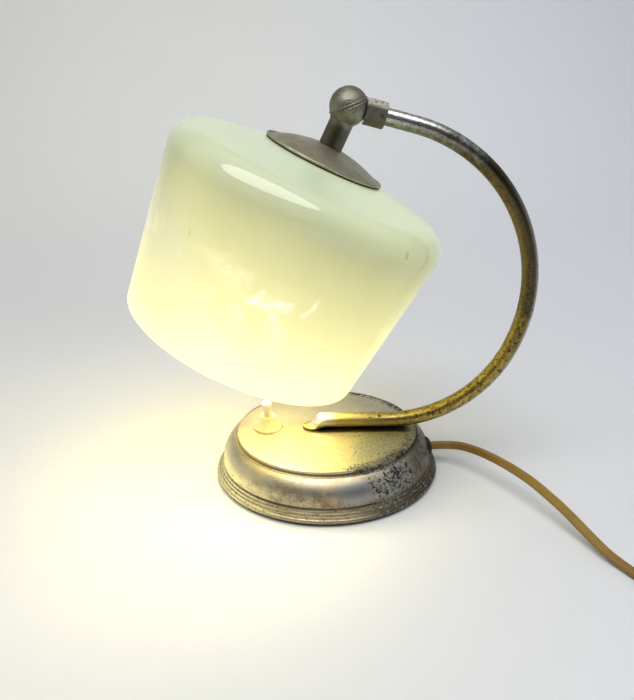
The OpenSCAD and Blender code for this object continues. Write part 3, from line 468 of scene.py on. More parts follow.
def arm_line():
    """Points of the arm's centre line with its heading, in the plane of X and Z."""
    low_c = Vector((RUN_X, RUN_Z + LOW_R))
    line = [((x, RUN_Z), 0.0) for x in RUN_POINTS]
    for i in range(LOW_POINTS + 1):
        heading = LOW_TURN * i / LOW_POINTS
        line.append((on_bend(low_c, LOW_R, heading), heading))
    a = radians(LOW_TURN)
    high_c = Vector(line[-1][0]) + HIGH_R * Vector((-sin(a), cos(a)))
    last = 180 - END_TILT
    for i in range(1, HIGH_POINTS + 1):
        heading = lerp(LOW_TURN, last, i / HIGH_POINTS)
        line.append((on_bend(high_c, HIGH_R, heading), heading))
    end = Vector(line[-1][0])
    return line + [(tuple(end - NECK_WAY.xz * END_STRAIGHT * k), last) for k in (0.5, 1.0)]


def nose_ring(x):
    """Ring of the squashed nose: a dome that drops to a thin, rounded lip on the plate."""
    gone = (NOSE_X - x) / NOSE_L
    dome = 1 / (1 + (gone / NOSE_DROP) ** NOSE_STEEP)
    squash = smooth(gone / SQUASHED_BY)
    past = max(0.0, (LIP_ROUND + TIP_X - x) / LIP_ROUND)
    wide = lerp(TUBE_R, LIP_WIDE, smooth(gone)) * sqrt(1 - past ** 2)
    dome_wide = TUBE_R * lerp(DOME_END, 1.0, dome) * DOME_SIDE
    ring = []
    for a in turns(TUBE_SIDES):
        c, s = cos(a), sin(a)
        hat = LIP_FLOOR
        if s > 0:
            hat += LIP_T * min(1.0, LIP_EDGE * s)
            hat += (2 * TUBE_R - LIP_T) * dome / (1 + (abs(wide * c) / dome_wide) ** 4)
        y = lerp(TUBE_R, wide, squash) * c
        z = lerp(TUBE_R * (1 + s), hat, squash)
        ring.append(Vector((x, y, RUN_Z - TUBE_R + z + LIP_CURL * past ** 2)))
    return ring


def arm_rings():
    steps = [sin(pi / 2 * k / NOSE_RINGS) * SHORT_OF_TIP for k in range(NOSE_RINGS, 0, -1)]
    rings = [nose_ring(lerp(NOSE_X, TIP_X, step)) for step in steps]
    for (x, z), heading in arm_line():
        h = radians(heading)
        over = Vector((-sin(h), 0, cos(h)))
        rings.append([Vector((x, 0, z)) + TUBE_R * (Vector((0, 1, 0)) * cos(a) + over * sin(a))
                      for a in turns(TUBE_SIDES)])
    return rings


hand_over(skinned("bent_arm", arm_rings(), sharp=50), "base", "arm_brass", "arm_tube")

# Opal glass shade

GLASS_Z = 33.1
GLASS_T = 2.6
SHADE_H = 120.5
HOLE_R = 21.0
FLAT_R = 34.0
FLAT_FILLET = 18.0
SHOULDER_R = 86.5
SHOULDER_DROP = 10.2
SHOULDER_FILLET = 15.0
FOOT_R = 74.0
LIP_FILLET = 4.0
INNER_FILLET = 1.4


def offset_corner(a, b, c, d):
    """Corner of a profile moved in by d to the left of its way."""
    a, b, c = Vector(a), Vector(b), Vector(c)
    u, v = (b - a).normalized(), (c - b).normalized()
    n, m = Vector((-u.y, u.x)), Vector((-v.y, v.x))
    return b + (n + m) * (d / (1 + n.dot(m)))


def between(a, b, n):
    """The points that part a line into n lengths, without its ends."""
    return [Vector(a).lerp(Vector(b), k / n) for k in range(1, n)]


def shade_profile():
    """Down the outside from the hole to the lower lip, then back along the inside."""
    foot = GLASS_Z + SHADE_H
    a, b, c = (HOLE_R, GLASS_Z), (FLAT_R, GLASS_Z), (SHOULDER_R, GLASS_Z + SHOULDER_DROP)
    d, e = (FOOT_R, foot), (FOOT_R - LIP_FILLET - 1, foot)
    c_in, d_in = offset_corner(b, c, d, GLASS_T), offset_corner(c, d, e, GLASS_T)
    flat = [a, ((HOLE_R + FLAT_R) / 2, GLASS_Z)] + corner(a, b, c, FLAT_FILLET, 6)
    shoulder = corner(b, c, d, SHOULDER_FILLET, 20)
    lip = corner(c, d, e, LIP_FILLET, 10)
    outer = flat + between(flat[-1], shoulder[0], 6) + shoulder
    outer += between(shoulder[-1], lip[0], 10) + lip + [e]
    inner = [(e[0], foot - GLASS_T)] + corner((0, d_in.y), d_in, c_in, INNER_FILLET, 5)
    inner += corner(d_in, c_in, (b[0], b[1] + GLASS_T), SHOULDER_FILLET - GLASS_T, 14)
    inner += [(FLAT_R, GLASS_Z + GLASS_T), (HOLE_R, GLASS_Z + GLASS_T)]
    return [tuple(p) for p in outer + inner]


hand_over(turned("opal_shade", shade_profile(), HEAD, steps=192, sharp=50),
          "head", "opal_glass", "glass_shade")

# Switch: a flared collar and a blunt lever that leans over

COLLAR_H = 9.0
COLLAR_FOOT = 8.8
COLLAR_TOP = 5.5
COLLAR_HOLLOW = 0.45
COLLAR_ROUND = 0.5
COLLAR_EDGE = 0.3
COLLAR_RIM = (0.95, 1.3)
COLLAR_STEPS = 96
SIDE_POINTS = 14
BUSH_R = 4.7
BUSH_GAP = 0.06
SLOT_X = 2.3
SLOT_Y = 3.4
SLOT_DEEP = 0.34
SLOT_EDGE = (0.2, 0.15)
PIVOT_H = 4.0
LEVER_LEAN = 12.0
LEVER_L = 16.0
NECK_H = 5.2
KNOB_R = 3.15
KNOB_UNDER = 0.6
KNOB_ROUND = 0.7
KNOB_FLAT = 0.6
STEM_R = 2.1
TAIL_L = 12.5
TAIL_R = 1.4


def collar_rings():
    """Rings up the outside, over the top, into the oval slot and down the bore."""
    side = []
    for i in range(SIDE_POINTS + 1):
        t = i / SIDE_POINTS
        r = lerp(COLLAR_FOOT - COLLAR_EDGE, COLLAR_TOP, t) - COLLAR_HOLLOW * sin(pi * t)
        side.append((r, lerp(COLLAR_RIM[1], COLLAR_H - COLLAR_ROUND, t)))
    rim = [(COLLAR_FOOT, 0.0), (COLLAR_FOOT, COLLAR_RIM[0]), side[0]]
    outer = rounded(rim, COLLAR_EDGE, 4)[:-1] + side
    outer += arc((COLLAR_TOP - COLLAR_ROUND, COLLAR_H - COLLAR_ROUND), COLLAR_ROUND, 0, 90, 5)
    slot = [(SLOT_EDGE[0], COLLAR_H), (0.0, COLLAR_H - SLOT_EDGE[1]), (0.0, COLLAR_H - SLOT_DEEP)]
    bore = [(BUSH_R + BUSH_GAP, COLLAR_H - SLOT_DEEP), (BUSH_R + BUSH_GAP, 0.0)]
    rings = []
    for rows, oval in ((outer, False), (slot, True), (bore, False)):
        for r, z in rows:
            ring = []
            for a in turns(COLLAR_STEPS):
                c, s = cos(a), sin(a)
                here = r + 1 / hypot(c / SLOT_X, s / SLOT_Y) if oval else r
                ring.append(Vector((SWITCH_X + here * c, here * s, PLATE_Z + z)))
            rings.append(ring)
    return rings


def lever_profile():
    """From the tail's end up the slim neck to the knob's flat top."""
    neck = COLLAR_H - PIVOT_H + NECK_H
    side = [(STEM_R, -0.5), (STEM_R, neck - KNOB_UNDER)]
    side += arc((KNOB_R - KNOB_UNDER, neck + KNOB_UNDER), KNOB_UNDER, -80, 0, 6)
    side += arc((KNOB_R - KNOB_ROUND, LEVER_L - KNOB_ROUND), KNOB_ROUND, 0, 85, 8)
    side += [(KNOB_FLAT, LEVER_L), (CORE_R, LEVER_L)]
    return [(CORE_R, -TAIL_L), (TAIL_R, -TAIL_L), (TAIL_R, -0.9)] + side


hand_over(looped("switch_cone", collar_rings()), "base", "cream", "switch_collar")
LEVER = placed((SWITCH_X, 0, PLATE_Z + PIVOT_H), LEVER_LEAN, "X")
hand_over(turned("switch_toggle_lever", lever_profile(), LEVER, steps=48),
          "lever", "cream", "switch_lever")

# Grommet: a low rubber bush whose rim lies on the barrel wall

GROMMET_R = 6.0
GROMMET_NECK = 4.4
GROMMET_RISE = 1.9
GROMMET_BORE = 2.9
GROMMET_IN = -4.5
GROMMET_STEPS = 64


def on_wall(r, a, lift):
    """Point round the cord's axis, lifted off the barrel wall along X."""
    y, z = r * cos(a), CORD_Z + r * sin(a)
    turn = asin(max(0.0, min(0.9, (z - BARREL_C[1]) / BARREL_ARC)))
    wall = BARREL_C[0] + BARREL_ARC * cos(turn) if z > BARREL_C[1] else BARREL_R
    return Vector((sqrt(wall ** 2 - y ** 2) + lift, y, z))


def grommet_rings():
    rows = [(GROMMET_NECK, GROMMET_IN), (GROMMET_NECK, 0.05), (GROMMET_R, 0.08), (GROMMET_R, 0.35)]
    rows += [(GROMMET_R - 0.35, 0.95), (GROMMET_R - 1.0, 1.35), (4.2, 1.6), (3.6, GROMMET_RISE)]
    rows += [(3.1, GROMMET_RISE - 0.1), (GROMMET_BORE, GROMMET_RISE - 0.5), (GROMMET_BORE, GROMMET_IN)]
    return [[on_wall(r, a, lift) for a in turns(GROMMET_STEPS)] for r, lift in rows]


hand_over(looped("wall_bush", grommet_rings(), sharp=45), "base", "rubber", "cord_grommet")

# Leads inside the base, the arm and the knuckle

LEAD_R = 1.1
LEAD_PITCH = 9.0
LEAD_SIDES = 8
CORE_SHARE = 0.98
LEAD_POINTS = 24
LEAD_SPAN_POINTS = 4
LEAD_GAP = 0.05
SIDEWAYS = 0.7
SWITCH_END = -28.45
WIRE_X = 20.0
LEAD_SIDE = 7.0
LEAD_HIGH = 17.0
LEAD_LOW = 14.0
LEAD_ARC = (36, 180)
LEAD_SHARES = (0, 0.2, 0.45, 0.7, 0.9)
INTO_BORE = ((0, -0.9), (0.08, -0.25), (0.6, 0.2), (2, 0.2))
INNER_ROUTE = [
    (EXIT_X - 0.5, 0, CORD_Z, 90), (65.5, 0, CORD_Z, 30), (63, 0, CORD_Z, 0), (52, 0, CORD_Z, 0),
    (38, 0, CORD_Z, 0), (30, 2.5, 13.2, 0), (20, 6.5, 12, 0), (6, 9, 11.5, 0), (-10, 6, 13.5, 20),
    (-20, 2.4, 16.5, 60), (SWITCH_END, 2, LEAD_HIGH, 90),
]
inner_rings = swept_flat(curve_through(INNER_ROUTE, LEAD_SPAN_POINTS), twin_section(6))
hand_over(skinned("lead_to_switch", inner_rings, sharp=60), "base", "cord_brown", "base_lead")


def twisted_pair(name, points):
    """Two thin cores twisted about each other along a line."""
    core = LEAD_R / 2 * CORE_SHARE
    line = [Vector(p) for p in points]
    gone = 0.0
    strands = [[], []]
    for i, p in enumerate(line):
        way = (line[min(i + 1, len(line) - 1)] - line[max(i - 1, 0)]).normalized()
        side = Vector((0, 1, 0)) if abs(way.y) < SIDEWAYS else Vector((1, 0, 0))
        side = (side - way * side.dot(way)).normalized()
        over = way.cross(side)
        gone += (p - line[max(i - 1, 0)]).length
        for k, strand in enumerate(strands):
            a = TURN * (gone / LEAD_PITCH + k / 2)
            c = p + core * (side * cos(a) + over * sin(a))
            strand.append([c + core * (side * cos(b) + over * sin(b)) for b in turns(LEAD_SIDES)])
    faces = tube_faces(len(line), LEAD_SIDES)
    second = len(line) * LEAD_SIDES
    faces += [tuple(second + v for v in face) for face in faces]
    return new_object(name, strands[0] + strands[1], faces, sharp=60)


def arm_lead_line():
    """From the switch round under the plate, up into the run and along the arm."""
    under = PLATE_Z - WALL
    points = []
    for t in LEAD_SHARES:
        a = radians(lerp(*LEAD_ARC, t))
        z = lerp(LEAD_LOW, LEAD_HIGH, (2 * t - 1) ** 2)
        points.append((lerp(SWITCH_END, WIRE_X, t), -LEAD_SIDE * sin(a), z))
    points += [(WIRE_X - LEAD_R / 5, 0, under - LEAD_SIDE), (WIRE_X, 0, under - 2 * WALL)]
    points += [(WIRE_X + x * BORE_R, 0, RUN_Z + z * BORE_R) for x, z in INTO_BORE]
    points += [(x, 0, z) for (x, z), heading in arm_line()[len(RUN_POINTS):-1]]
    return curve_through(points, LEAD_SPAN_POINTS)


def straight_lead_line(node, way):
    """Line along a straight lead's solid, as far as it reaches from the ball."""
    reach = [(v.co / MM - BALL).dot(way) for v in nodes[node].data.vertices]
    first, last = BALL + way * (min(reach) + LEAD_GAP), BALL + way * (max(reach) - LEAD_GAP)
    return [first.lerp(last, k / LEAD_POINTS) for k in range(LEAD_POINTS + 1)]


hand_over(twisted_pair("lead_in_arm", arm_lead_line()), "base", "lead_white", "arm_lead")
for name, node, way, body in (
    ("lead_in_neck", "neck_lead", NECK_WAY, "neck"),
    ("lead_in_stem", "head_lead", HEAD_WAY, "head"),
):
    hand_over(twisted_pair(name, straight_lead_line(node, way)), body, "lead_white", node)

# Materials: colours are linear, and places are the part's own, in millimetres

X, Y, Z = (1, 0, 0), (0, 1, 0), (0, 0, 1)


class Nodes:
    """Short calls for the nodes of one tree."""

    def __init__(self, tree, place, unit=1.0):
        self.tree = tree
        self.place = self.add("TexCoord").outputs[place]
        self.at = self.vector("MULTIPLY", self.place, (1 / unit, 1 / unit, 1 / unit))

    def add(self, kind, **settings):
        node = self.tree.nodes.new("ShaderNode" + kind)
        for setting, value in settings.items():
            setattr(node, setting, value)
        return node

    def link(self, socket, value):
        """Join a socket to another node's output, or give it a fixed value."""
        if isinstance(value, bpy.types.NodeSocket):
            self.tree.links.new(value, socket)
        elif socket.type == "RGBA":
            socket.default_value = (*value, 1.0)
        else:
            socket.default_value = value

    def fill(self, node, values):
        for socket, value in values.items():
            self.link(node.inputs[socket], value)
        return node

    def math(self, operation, a, b=0.0, clamp=False):
        node = self.add("Math", operation=operation, use_clamp=clamp)
        return self.fill(node, {0: a, 1: b}).outputs[0]

    def fold(self, operation, values):
        total = values[0]
        for value in values[1:]:
            total = self.math(operation, total, value)
        return total

    def times(self, *values):
        return self.fold("MULTIPLY", values)

    def plus(self, *values):
        return self.fold("ADD", values)

    def less(self, *values):
        return self.fold("SUBTRACT", values)

    def most(self, *values):
        return self.fold("MAXIMUM", values)

    def weighed(self, *rows):
        return self.plus(*(self.times(mask, weight) for mask, weight in rows))

    def length(self, a, b):
        return self.math("SQRT", self.plus(self.times(a, a), self.times(b, b)))

    def vector(self, operation, *values, out="Vector"):
        node = self.add("VectorMath", operation=operation)
        return self.fill(node, dict(enumerate(values))).outputs[out]

    def axis(self, way, start=(0, 0, 0)):
        """Distance along a way from a start."""
        return self.vector("DOT_PRODUCT", self.vector("SUBTRACT", self.at, start), way, out="Value")

    def span(self, value, low, high, to_low=0.0, to_high=1.0):
        """Smooth step of a value between two limits."""
        node = self.add("MapRange", interpolation_type="SMOOTHSTEP")
        limits = {"From Min": low, "From Max": high, "To Min": to_low, "To Max": to_high}
        return self.fill(node, {"Value": value, **limits}).outputs["Result"]

    def mix(self, share, a, b, blend="MIX"):
        """Mix of two colours, whose sockets on the node are 6 and 7, and 2 on its way out."""
        node = self.add("Mix", data_type="RGBA", blend_type=blend)
        return self.fill(node, {0: share, 6: a, 7: b}).outputs[2]

    def noise(self, scale, detail=3.0, rough=0.55, bend=0.0):
        """Noise of so many lumps to the metre, or of so many along each axis."""
        where = self.place
        if isinstance(scale, tuple):
            where = self.vector("MULTIPLY", where, scale)
            scale = 1.0
        values = {"Vector": where, "Scale": scale, "Detail": detail, "Roughness": rough, "Distortion": bend}
        return self.fill(self.add("TexNoise"), values).outputs["Fac"]

    def near(self, point, inside, outside):
        """One close to a point and nought away from it."""
        return self.span(self.vector("DISTANCE", self.at, point, out="Value"), inside, outside, 1.0, 0.0)

    def capsule(self, first, last, inside, outside):
        """One close to the straight line between two points and nought away from it."""
        way = Vector(last) - Vector(first)
        share = self.math("DIVIDE", self.axis(way, first), way.length_squared, True)
        return self.near(self.vector("MULTIPLY_ADD", share, way, first), inside, outside)

    def band(self, value, centre, half):
        """One at a value and nought further than half from it."""
        return self.span(self.math("ABSOLUTE", self.less(value, centre)), 0.0, half, 1.0, 0.0)

    def off_circle(self, centre, r):
        """Distance outwards from a circle in the plane of X and Z."""
        middle = (centre[0], 0, centre[1])
        return self.less(self.length(self.axis(X, middle), self.axis(Z, middle)), r)


class Paint(Nodes):
    """One procedural material, whose tone is laid on in coats."""

    def __init__(self, name, **fixed):
        self.material = bpy.data.materials.new(name)
        self.material.use_nodes = True
        super().__init__(self.material.node_tree, "Object", MM)
        self.shader = self.tree.nodes["Principled BSDF"]
        self.tone = None
        for socket, value in fixed.items():
            self.set(socket.replace("_", " "), value)

    def set(self, socket, value):
        self.link(self.shader.inputs[socket], value)

    def coat(self, colour, *shares):
        """Lay a colour over the tone so far, as strongly as the product of the shares."""
        self.tone = self.mix(self.times(*shares), self.tone, colour)

    def finish(self, rough, height, strength, depth):
        """Give the shader its tone, roughness and bump."""
        self.set("Base Color", self.tone)
        self.set("Roughness", rough)
        bump = self.fill(self.add("Bump"), {"Strength": strength, "Distance": depth, "Height": height})
        self.set("Normal", bump.outputs["Normal"])
        return self.material


# Ends of the pitted streaks on the barrel wall
PIT_LEFT = ((27.5, -57.5, 20.5), (33, -58.2, 15))
PIT_RIGHT = ((37.5, -51.5, 21.2), (47, -42.5, 20.8))
PIT_LOW = ((40, -53, 15), (49, -45.5, 15.8))
# Middle of the painted blue-grey reflection on the front, middle of the pits, middle of their frost and
# middle of the dark patch round the grommet
REFLECTION_AT = (17, -61.5, 19)
PITS_AT = (38.5, -51, 19)
FROST_AT = (36.5, -52.5, 19)
GROMMET_DARK_AT = (66.2, -4.5, 14.5)


def base_nickel():
    """Old nickel over brass: yellowed, specked to the right, with deep pits at the front right."""
    p = Paint("base_nickel")
    x, y, z = p.axis(X), p.axis(Y), p.axis(Z)
    radius = p.length(x, y)
    plate = p.span(z, PLATE_Z - 1, PLATE_Z - 0.3)
    barrel = p.times(p.span(z, 10, 10.8), p.span(z, 26.2, 25.5))
    low = p.span(z, 9, 18, 1.0, 0.0)

    # Cloudy nickel, yellower on the plate and greyer to the right
    cloud = p.span(p.noise(38, 6, 0.62, 0.4), 0.36, 0.66)
    p.tone = p.mix(cloud, (0.66, 0.61, 0.49), (0.7, 0.6, 0.37))
    ground = p.mix(p.span(x, -35, 0), (0.62, 0.53, 0.37), (0.55, 0.46, 0.265))
    p.coat(p.mix(p.span(x, -2, 18), ground, (0.57, 0.54, 0.25)), plate, 0.75)
    streak = p.span(p.noise((90, 90, 240), 5, 0.65, 0.8), 0.4, 0.66)
    p.coat((0.36, 0.3, 0.2), streak, p.span(z, 18, 27, 0.7, 0.25))
    right = p.span(p.plus(x, p.times(p.less(cloud, 0.5), 30)), 0, 55)
    p.coat((0.36, 0.35, 0.315), right, p.span(plate, 0, 1, 0.62, 0.4))
    p.coat((0.27, 0.215, 0.13), low, 0.6)

    # Brown mottling, a painted blue-grey reflection on the front of the barrel, the barrel and foot darker
    # to the right with streaks, and painted shade with painted glints on the foot's right
    mottle = p.times(p.span(p.noise(230, 6, 0.72, 0.6), 0.44, 0.6), p.span(z, 20.5, 13.5))
    p.coat((0.2, 0.155, 0.085), mottle, barrel, p.span(y, -15, -40), 0.75)
    # Painted reflection: a blue-grey sheen on the front of the barrel
    steel = p.times(p.near(REFLECTION_AT, 4, 19), barrel, p.span(z, 23.5, 21))
    p.coat((0.4, 0.42, 0.45), steel, 0.85)
    wash = p.span(p.noise((260, 260, 70), 5, 0.62, 0.5), 0.38, 0.62)
    far_right = p.times(p.span(x, 43, 58), p.span(z, 27.5, 26.5))
    p.coat((0.105, 0.09, 0.065), far_right, p.plus(p.times(wash, 0.5), 0.45))
    # Painted shade on the right of the foot, with painted glints on it
    dim_foot = p.times(p.span(x, 10, 40), p.span(z, 12.5, 10))
    p.coat((0.07, 0.056, 0.04), dim_foot, 0.82)
    glint = p.span(p.noise(620, 4, 0.7), 0.54, 0.61)
    p.coat((0.74, 0.71, 0.64), glint, dim_foot, 0.7)

    # Paler back of the plate, painted light on the left side of the barrel and foot, and brown smears there
    p.coat((0.72, 0.67, 0.6), plate, p.span(y, 2, 18), 0.55)
    # Painted light: the left side lit by the lamp's glow
    p.coat((1.0, 0.91, 0.6), p.span(x, -22, -62), p.span(z, 26, 20), 0.88)
    smear = p.times(p.span(p.noise((55, 55, 150), 4, 0.6, 1.4), 0.47, 0.55), barrel)
    p.coat((0.34, 0.27, 0.15), smear, p.span(x, 0, -30), p.span(z, 21.5, 16.5), 0.38)

    # Painted shade in the grooves and at the plate's edge, a painted shadow under the arm, a dark dotted
    # ring round the collar's foot and painted shade along the far edge
    rings = ((9.7, 0.9), (6, 0.6), (7.7, 0.6), (26.4, 1.3))
    # Painted shade in the foot's grooves and at the step under the plate's edge
    grooves = p.most(*(p.band(z, *ring) for ring in rings))
    p.coat((0.08, 0.065, 0.04), grooves, p.span(x, -30, -62, 0.75, 0.42))
    # Painted shadow and dark reflection of the arm on the plate, under and in front of the run
    under = p.times(p.span(x, -12, -4), p.span(x, 56, 50), p.span(y, -9.5, -6.5))
    p.coat((0.03, 0.022, 0.006), plate, under, p.span(y, 6, 3), 0.9)
    foot = p.band(p.length(p.axis(X, (SWITCH_X, 0, 0)), y), 9.4, 0.7)
    p.coat((0.16, 0.12, 0.05), plate, foot, p.span(p.noise(330), 0.42, 0.56), 0.8)
    # Painted shade along the plate's far edge
    far_edge_shade = p.times(p.span(radius, 55.5, 57.5), plate, p.span(y, 8, 30))
    p.coat((0.07, 0.06, 0.04), far_edge_shade, 0.75)

    # Where the nickel is worn: three streaks, torn at their edges, and the plate's rim
    low_streak = p.times(p.capsule(*PIT_LOW, 0, 8), 0.75)
    worn = p.most(p.capsule(*PIT_LEFT, 0, 7), p.capsule(*PIT_RIGHT, 0, 10), low_streak)
    torn = p.times(p.less(p.noise(150, 4, 0.6, 0.5), 0.5), 2.2)
    worn = p.math("MULTIPLY", worn, p.plus(0.9, torn), True)
    rim = p.times(p.span(radius, 50, 56.5), p.span(z, 24.5, 26.5))
    rim = p.times(rim, p.plus(p.times(p.span(x, 4, 20), p.span(x, 56, 50)), 0.25))
    dense = p.math("MAXIMUM", worn, p.times(rim, p.plus(0.45, torn)), True)

    # Fine specks, thicker where the nickel is worn, low, or to the right
    sown = p.times(plate, p.span(x, -12, 26), p.span(y, 0, -12, 0.6, 1.0))
    around = p.near(PITS_AT, 8, 24)
    more = p.weighed((dense, 0.1), (sown, 0.092), (around, 0.08),
                     (low, 0.085), (rim, 0.09), (far_right, 0.06))
    specks = p.span(p.less(p.noise(640, 4, 0.68), p.less(0.64, more)), 0.0, 0.08, 0.0, 0.8)
    p.coat((0.085, 0.066, 0.042), specks)
    # Darker patch on the wall round the grommet
    p.coat((0.02, 0.018, 0.014), p.near(GROMMET_DARK_AT, 5.5, 9.5), 0.9)

    # Frosted metal about the pits, rust along the barrel's foot, and the pits themselves
    frosted = p.most(worn, p.near(FROST_AT, 0, 19.5))
    frost = p.times(p.span(p.noise(420, 4, 0.6), 0.38, 0.6), frosted, 0.6)
    p.coat((0.6, 0.66, 0.67), frost)
    along = p.times(p.span(x, -15, 6), p.span(x, 42, 22))
    rust = p.times(along, p.band(z, 11.8, 3), p.span(y, -48, -60))
    p.coat((0.36, 0.165, 0.05), rust, p.span(p.noise(1700, 3, 0.6), 0.46, 0.6), 0.6)
    grit = p.plus(p.noise(470, 5, 0.72, 0.6), p.span(dense, 0.0, 0.9, -0.085, 0.045))
    pits = p.times(p.span(grit, 0.505, 0.555), p.span(dense, 0.05, 0.3))
    p.coat((0.02, 0.021, 0.021), pits)

    dark = p.most(specks, pits)
    p.set("Metallic", p.less(1.0, p.times(dark, 0.85)))
    grain = p.noise(1500, 2, 0.6)
    dull = p.most(dark, frost)
    rough = p.weighed((cloud, 0.08), (grain, 0.12), (plate, 0.09), (barrel, 0.05), (dull, 0.32))
    return p.finish(p.plus(rough, 0.3), p.less(p.times(grain, 0.12), dark), 0.35, 0.0003)


def arm_brass():
    """Nickel worn off the lower arm: golden brass with brown specks, dark brown above, grey at the top."""
    p = Paint("arm_brass", Metallic=1.0)
    x, z = p.axis(X), p.axis(Z)
    fine = p.noise(620, 4, 0.65)
    flecks = p.span(fine, 0.36, 0.66)
    high = p.off_circle(HIGH_C, HIGH_R)
    low = p.off_circle((RUN_X, RUN_Z + LOW_R), LOW_R)

    # Brass below, brown in the middle, nickel at the top, each with a paler outer side that is a painted
    # reflection; the brown is painted golden on its inner side as reflected glow, and the nickel is darker
    # on its inner side, partly dirt and partly painted shade
    brass = p.mix(flecks, (0.66, 0.505, 0.125), (0.31, 0.21, 0.04))
    brass = p.mix(p.span(p.noise(210, 4, 0.62), 0.5, 0.62, 0.0, 0.6), brass, (0.2, 0.125, 0.03))
    # Painted reflection on the outer side of the low bend
    low_bend_sheen = p.times(p.span(low, -1.5, 4), p.span(x, 50, 75), p.span(z, 100, 80))
    brass = p.mix(p.times(low_bend_sheen, 0.65), brass, (0.3, 0.275, 0.18))
    outer = p.span(high, -3.5, 3)
    brown = p.mix(flecks, (0.135, 0.103, 0.042), (0.062, 0.048, 0.02))
    # Painted reflection on the outer side of the brown
    brown = p.mix(p.times(outer, 0.5), brown, (0.11, 0.1, 0.075))
    # Painted glow reflected on the inner side of the upper bend
    inner = p.times(p.span(high, -2, -4.6), p.span(z, 185, 150, 0.1, 0.5))
    brown = p.mix(inner, brown, (0.21, 0.165, 0.075))
    bright = p.span(fine, 0.4, 0.66)
    nickel = p.mix(bright, (0.92, 0.915, 0.89), (0.46, 0.45, 0.41))
    # The nickel darker on its inner side: partly dirt, partly painted shade
    nickel = p.mix(p.less(1.0, outer), nickel, p.mix(bright, (0.34, 0.33, 0.27), (0.15, 0.14, 0.1)))
    height = p.plus(z, p.times(p.less(p.noise(110, 5, 0.65, 0.3), 0.5), 60))
    p.tone = p.mix(p.span(height, 66, 118), brass, brown)
    p.coat(nickel, p.span(height, 193, 227))

    # Pale edge on the outside of the bends, partly nickel left there and partly a painted reflection; rubbed
    # run and bright nose
    upper = p.span(z, 78, 83)
    nickel_and_sheen_edge = p.span(p.plus(p.times(upper, high), p.times(p.less(1.0, upper), low)), 1.6, 4.3)
    # Pale grey outer edge: nickel and a painted reflection
    p.coat((0.55, 0.54, 0.49), nickel_and_sheen_edge, p.span(x, 60, 85), p.span(z, 190, 160), 0.7)
    run = p.times(p.span(x, 62, 20), p.span(z, 50, 42))
    p.coat((0.62, 0.5, 0.2), run, 0.85)
    p.coat((1.0, 1.0, 1.0), p.span(x, 10, -4), p.span(z, 30, 34))

    # Brown specks, fewer higher up and none on the rubbed run, and painted shade along the seat
    clear = p.times(p.span(x, 66, 50), p.span(z, 37, 35.5))
    clear = p.less(1.0, p.most(clear, p.span(x, 26, 12)))
    specks = p.times(p.span(p.noise(340, 5, 0.7), 0.54, 0.62), p.span(z, 160, 90, 0.1, 0.85), clear)
    p.coat((0.075, 0.045, 0.018), specks)
    # Painted shade where the tube sits on the plate
    p.coat((0.06, 0.04, 0.012), p.span(z, 31.2, 29.2), p.span(x, 56, 46), 0.85)

    grain = p.noise(1300, 3, 0.6)
    dull = p.times(p.span(x, 50, 20), p.span(z, 50, 42, 0.0, 0.16))
    rough = p.plus(p.times(grain, 0.14), p.times(specks, 0.25), p.span(z, 100, 200, 0.31, 0.24), dull)
    rough = p.less(rough, p.times(run, 0.1))
    return p.finish(rough, p.less(p.times(grain, 0.2), specks), 0.22, 0.0002)


def knuckle_nickel():
    """Olive grey metal with turned rings about the pivot; the stem is painted darker as shade, with a
    painted dark reflection down its middle.
    """
    p = Paint("knuckle_nickel", Metallic=1.0)
    cloud = p.span(p.noise(120, 5, 0.6, 0.3), 0.34, 0.68)
    grain = p.noise(1100, 3, 0.65)
    p.tone = p.mix(cloud, (0.37, 0.36, 0.28), (0.23, 0.22, 0.155))
    p.coat((0.1, 0.095, 0.06), p.span(grain, 0.5, 0.75, 0.0, 0.5))
    away = p.length(p.axis(X, BALL), p.axis(Z, BALL))
    rings = p.most(p.band(away, 1.9, 0.6), p.times(p.band(away, 3.6, 0.5), 0.6))
    ridge = p.band(away, 2.8, 0.6)
    p.coat((0.07, 0.065, 0.04), rings, 0.35)
    p.coat((0.55, 0.53, 0.43), ridge, 0.15)
    s = p.axis(HEAD_WAY, BALL)
    across = p.axis((HEAD_WAY.z, 0, -HEAD_WAY.x), BALL)
    # Painted shade: the stem darker away from the ball
    p.coat((0.075, 0.07, 0.042), p.span(s, 8.5, 14, 0.0, 0.6))
    # Painted dark reflection down the middle of the stem
    p.coat((0.03, 0.028, 0.016), p.band(across, 0, 4.2), p.span(s, 9, 12.5), 0.65)
    rough = p.plus(p.times(grain, 0.22), p.times(cloud, 0.06), 0.38)
    turned_marks = p.math("SINE", p.times(away, 9.0))
    height = p.plus(p.times(turned_marks, 0.1), p.times(p.less(ridge, rings), 0.3), p.times(grain, 0.4))
    return p.finish(rough, height, 0.3, 0.0003)


def satin_metal(name, light, dark, rough, patch, sand, spots=0.0, spot_tone=(0.05, 0.045, 0.04)):
    """Metal with cloudy patches, a fine sandy grain and, where asked for, dark spots."""
    p = Paint(name, Metallic=1.0)
    cloud = p.span(p.noise(patch, 5, 0.6, 0.3), 0.34, 0.68)
    grain = p.noise(sand, 3, 0.65)
    p.tone = p.mix(cloud, light, dark)
    p.coat(tuple(0.55 * c for c in dark), p.span(grain, 0.5, 0.75, 0.0, 0.45))
    if spots:
        p.coat(spot_tone, p.span(p.noise(380, 3, 0.6), 0.7 - spots, 0.76 - spots))
    return p.finish(p.plus(p.times(grain, 0.25), p.times(cloud, 0.08), rough - 0.14), grain, 0.22, 0.00015)


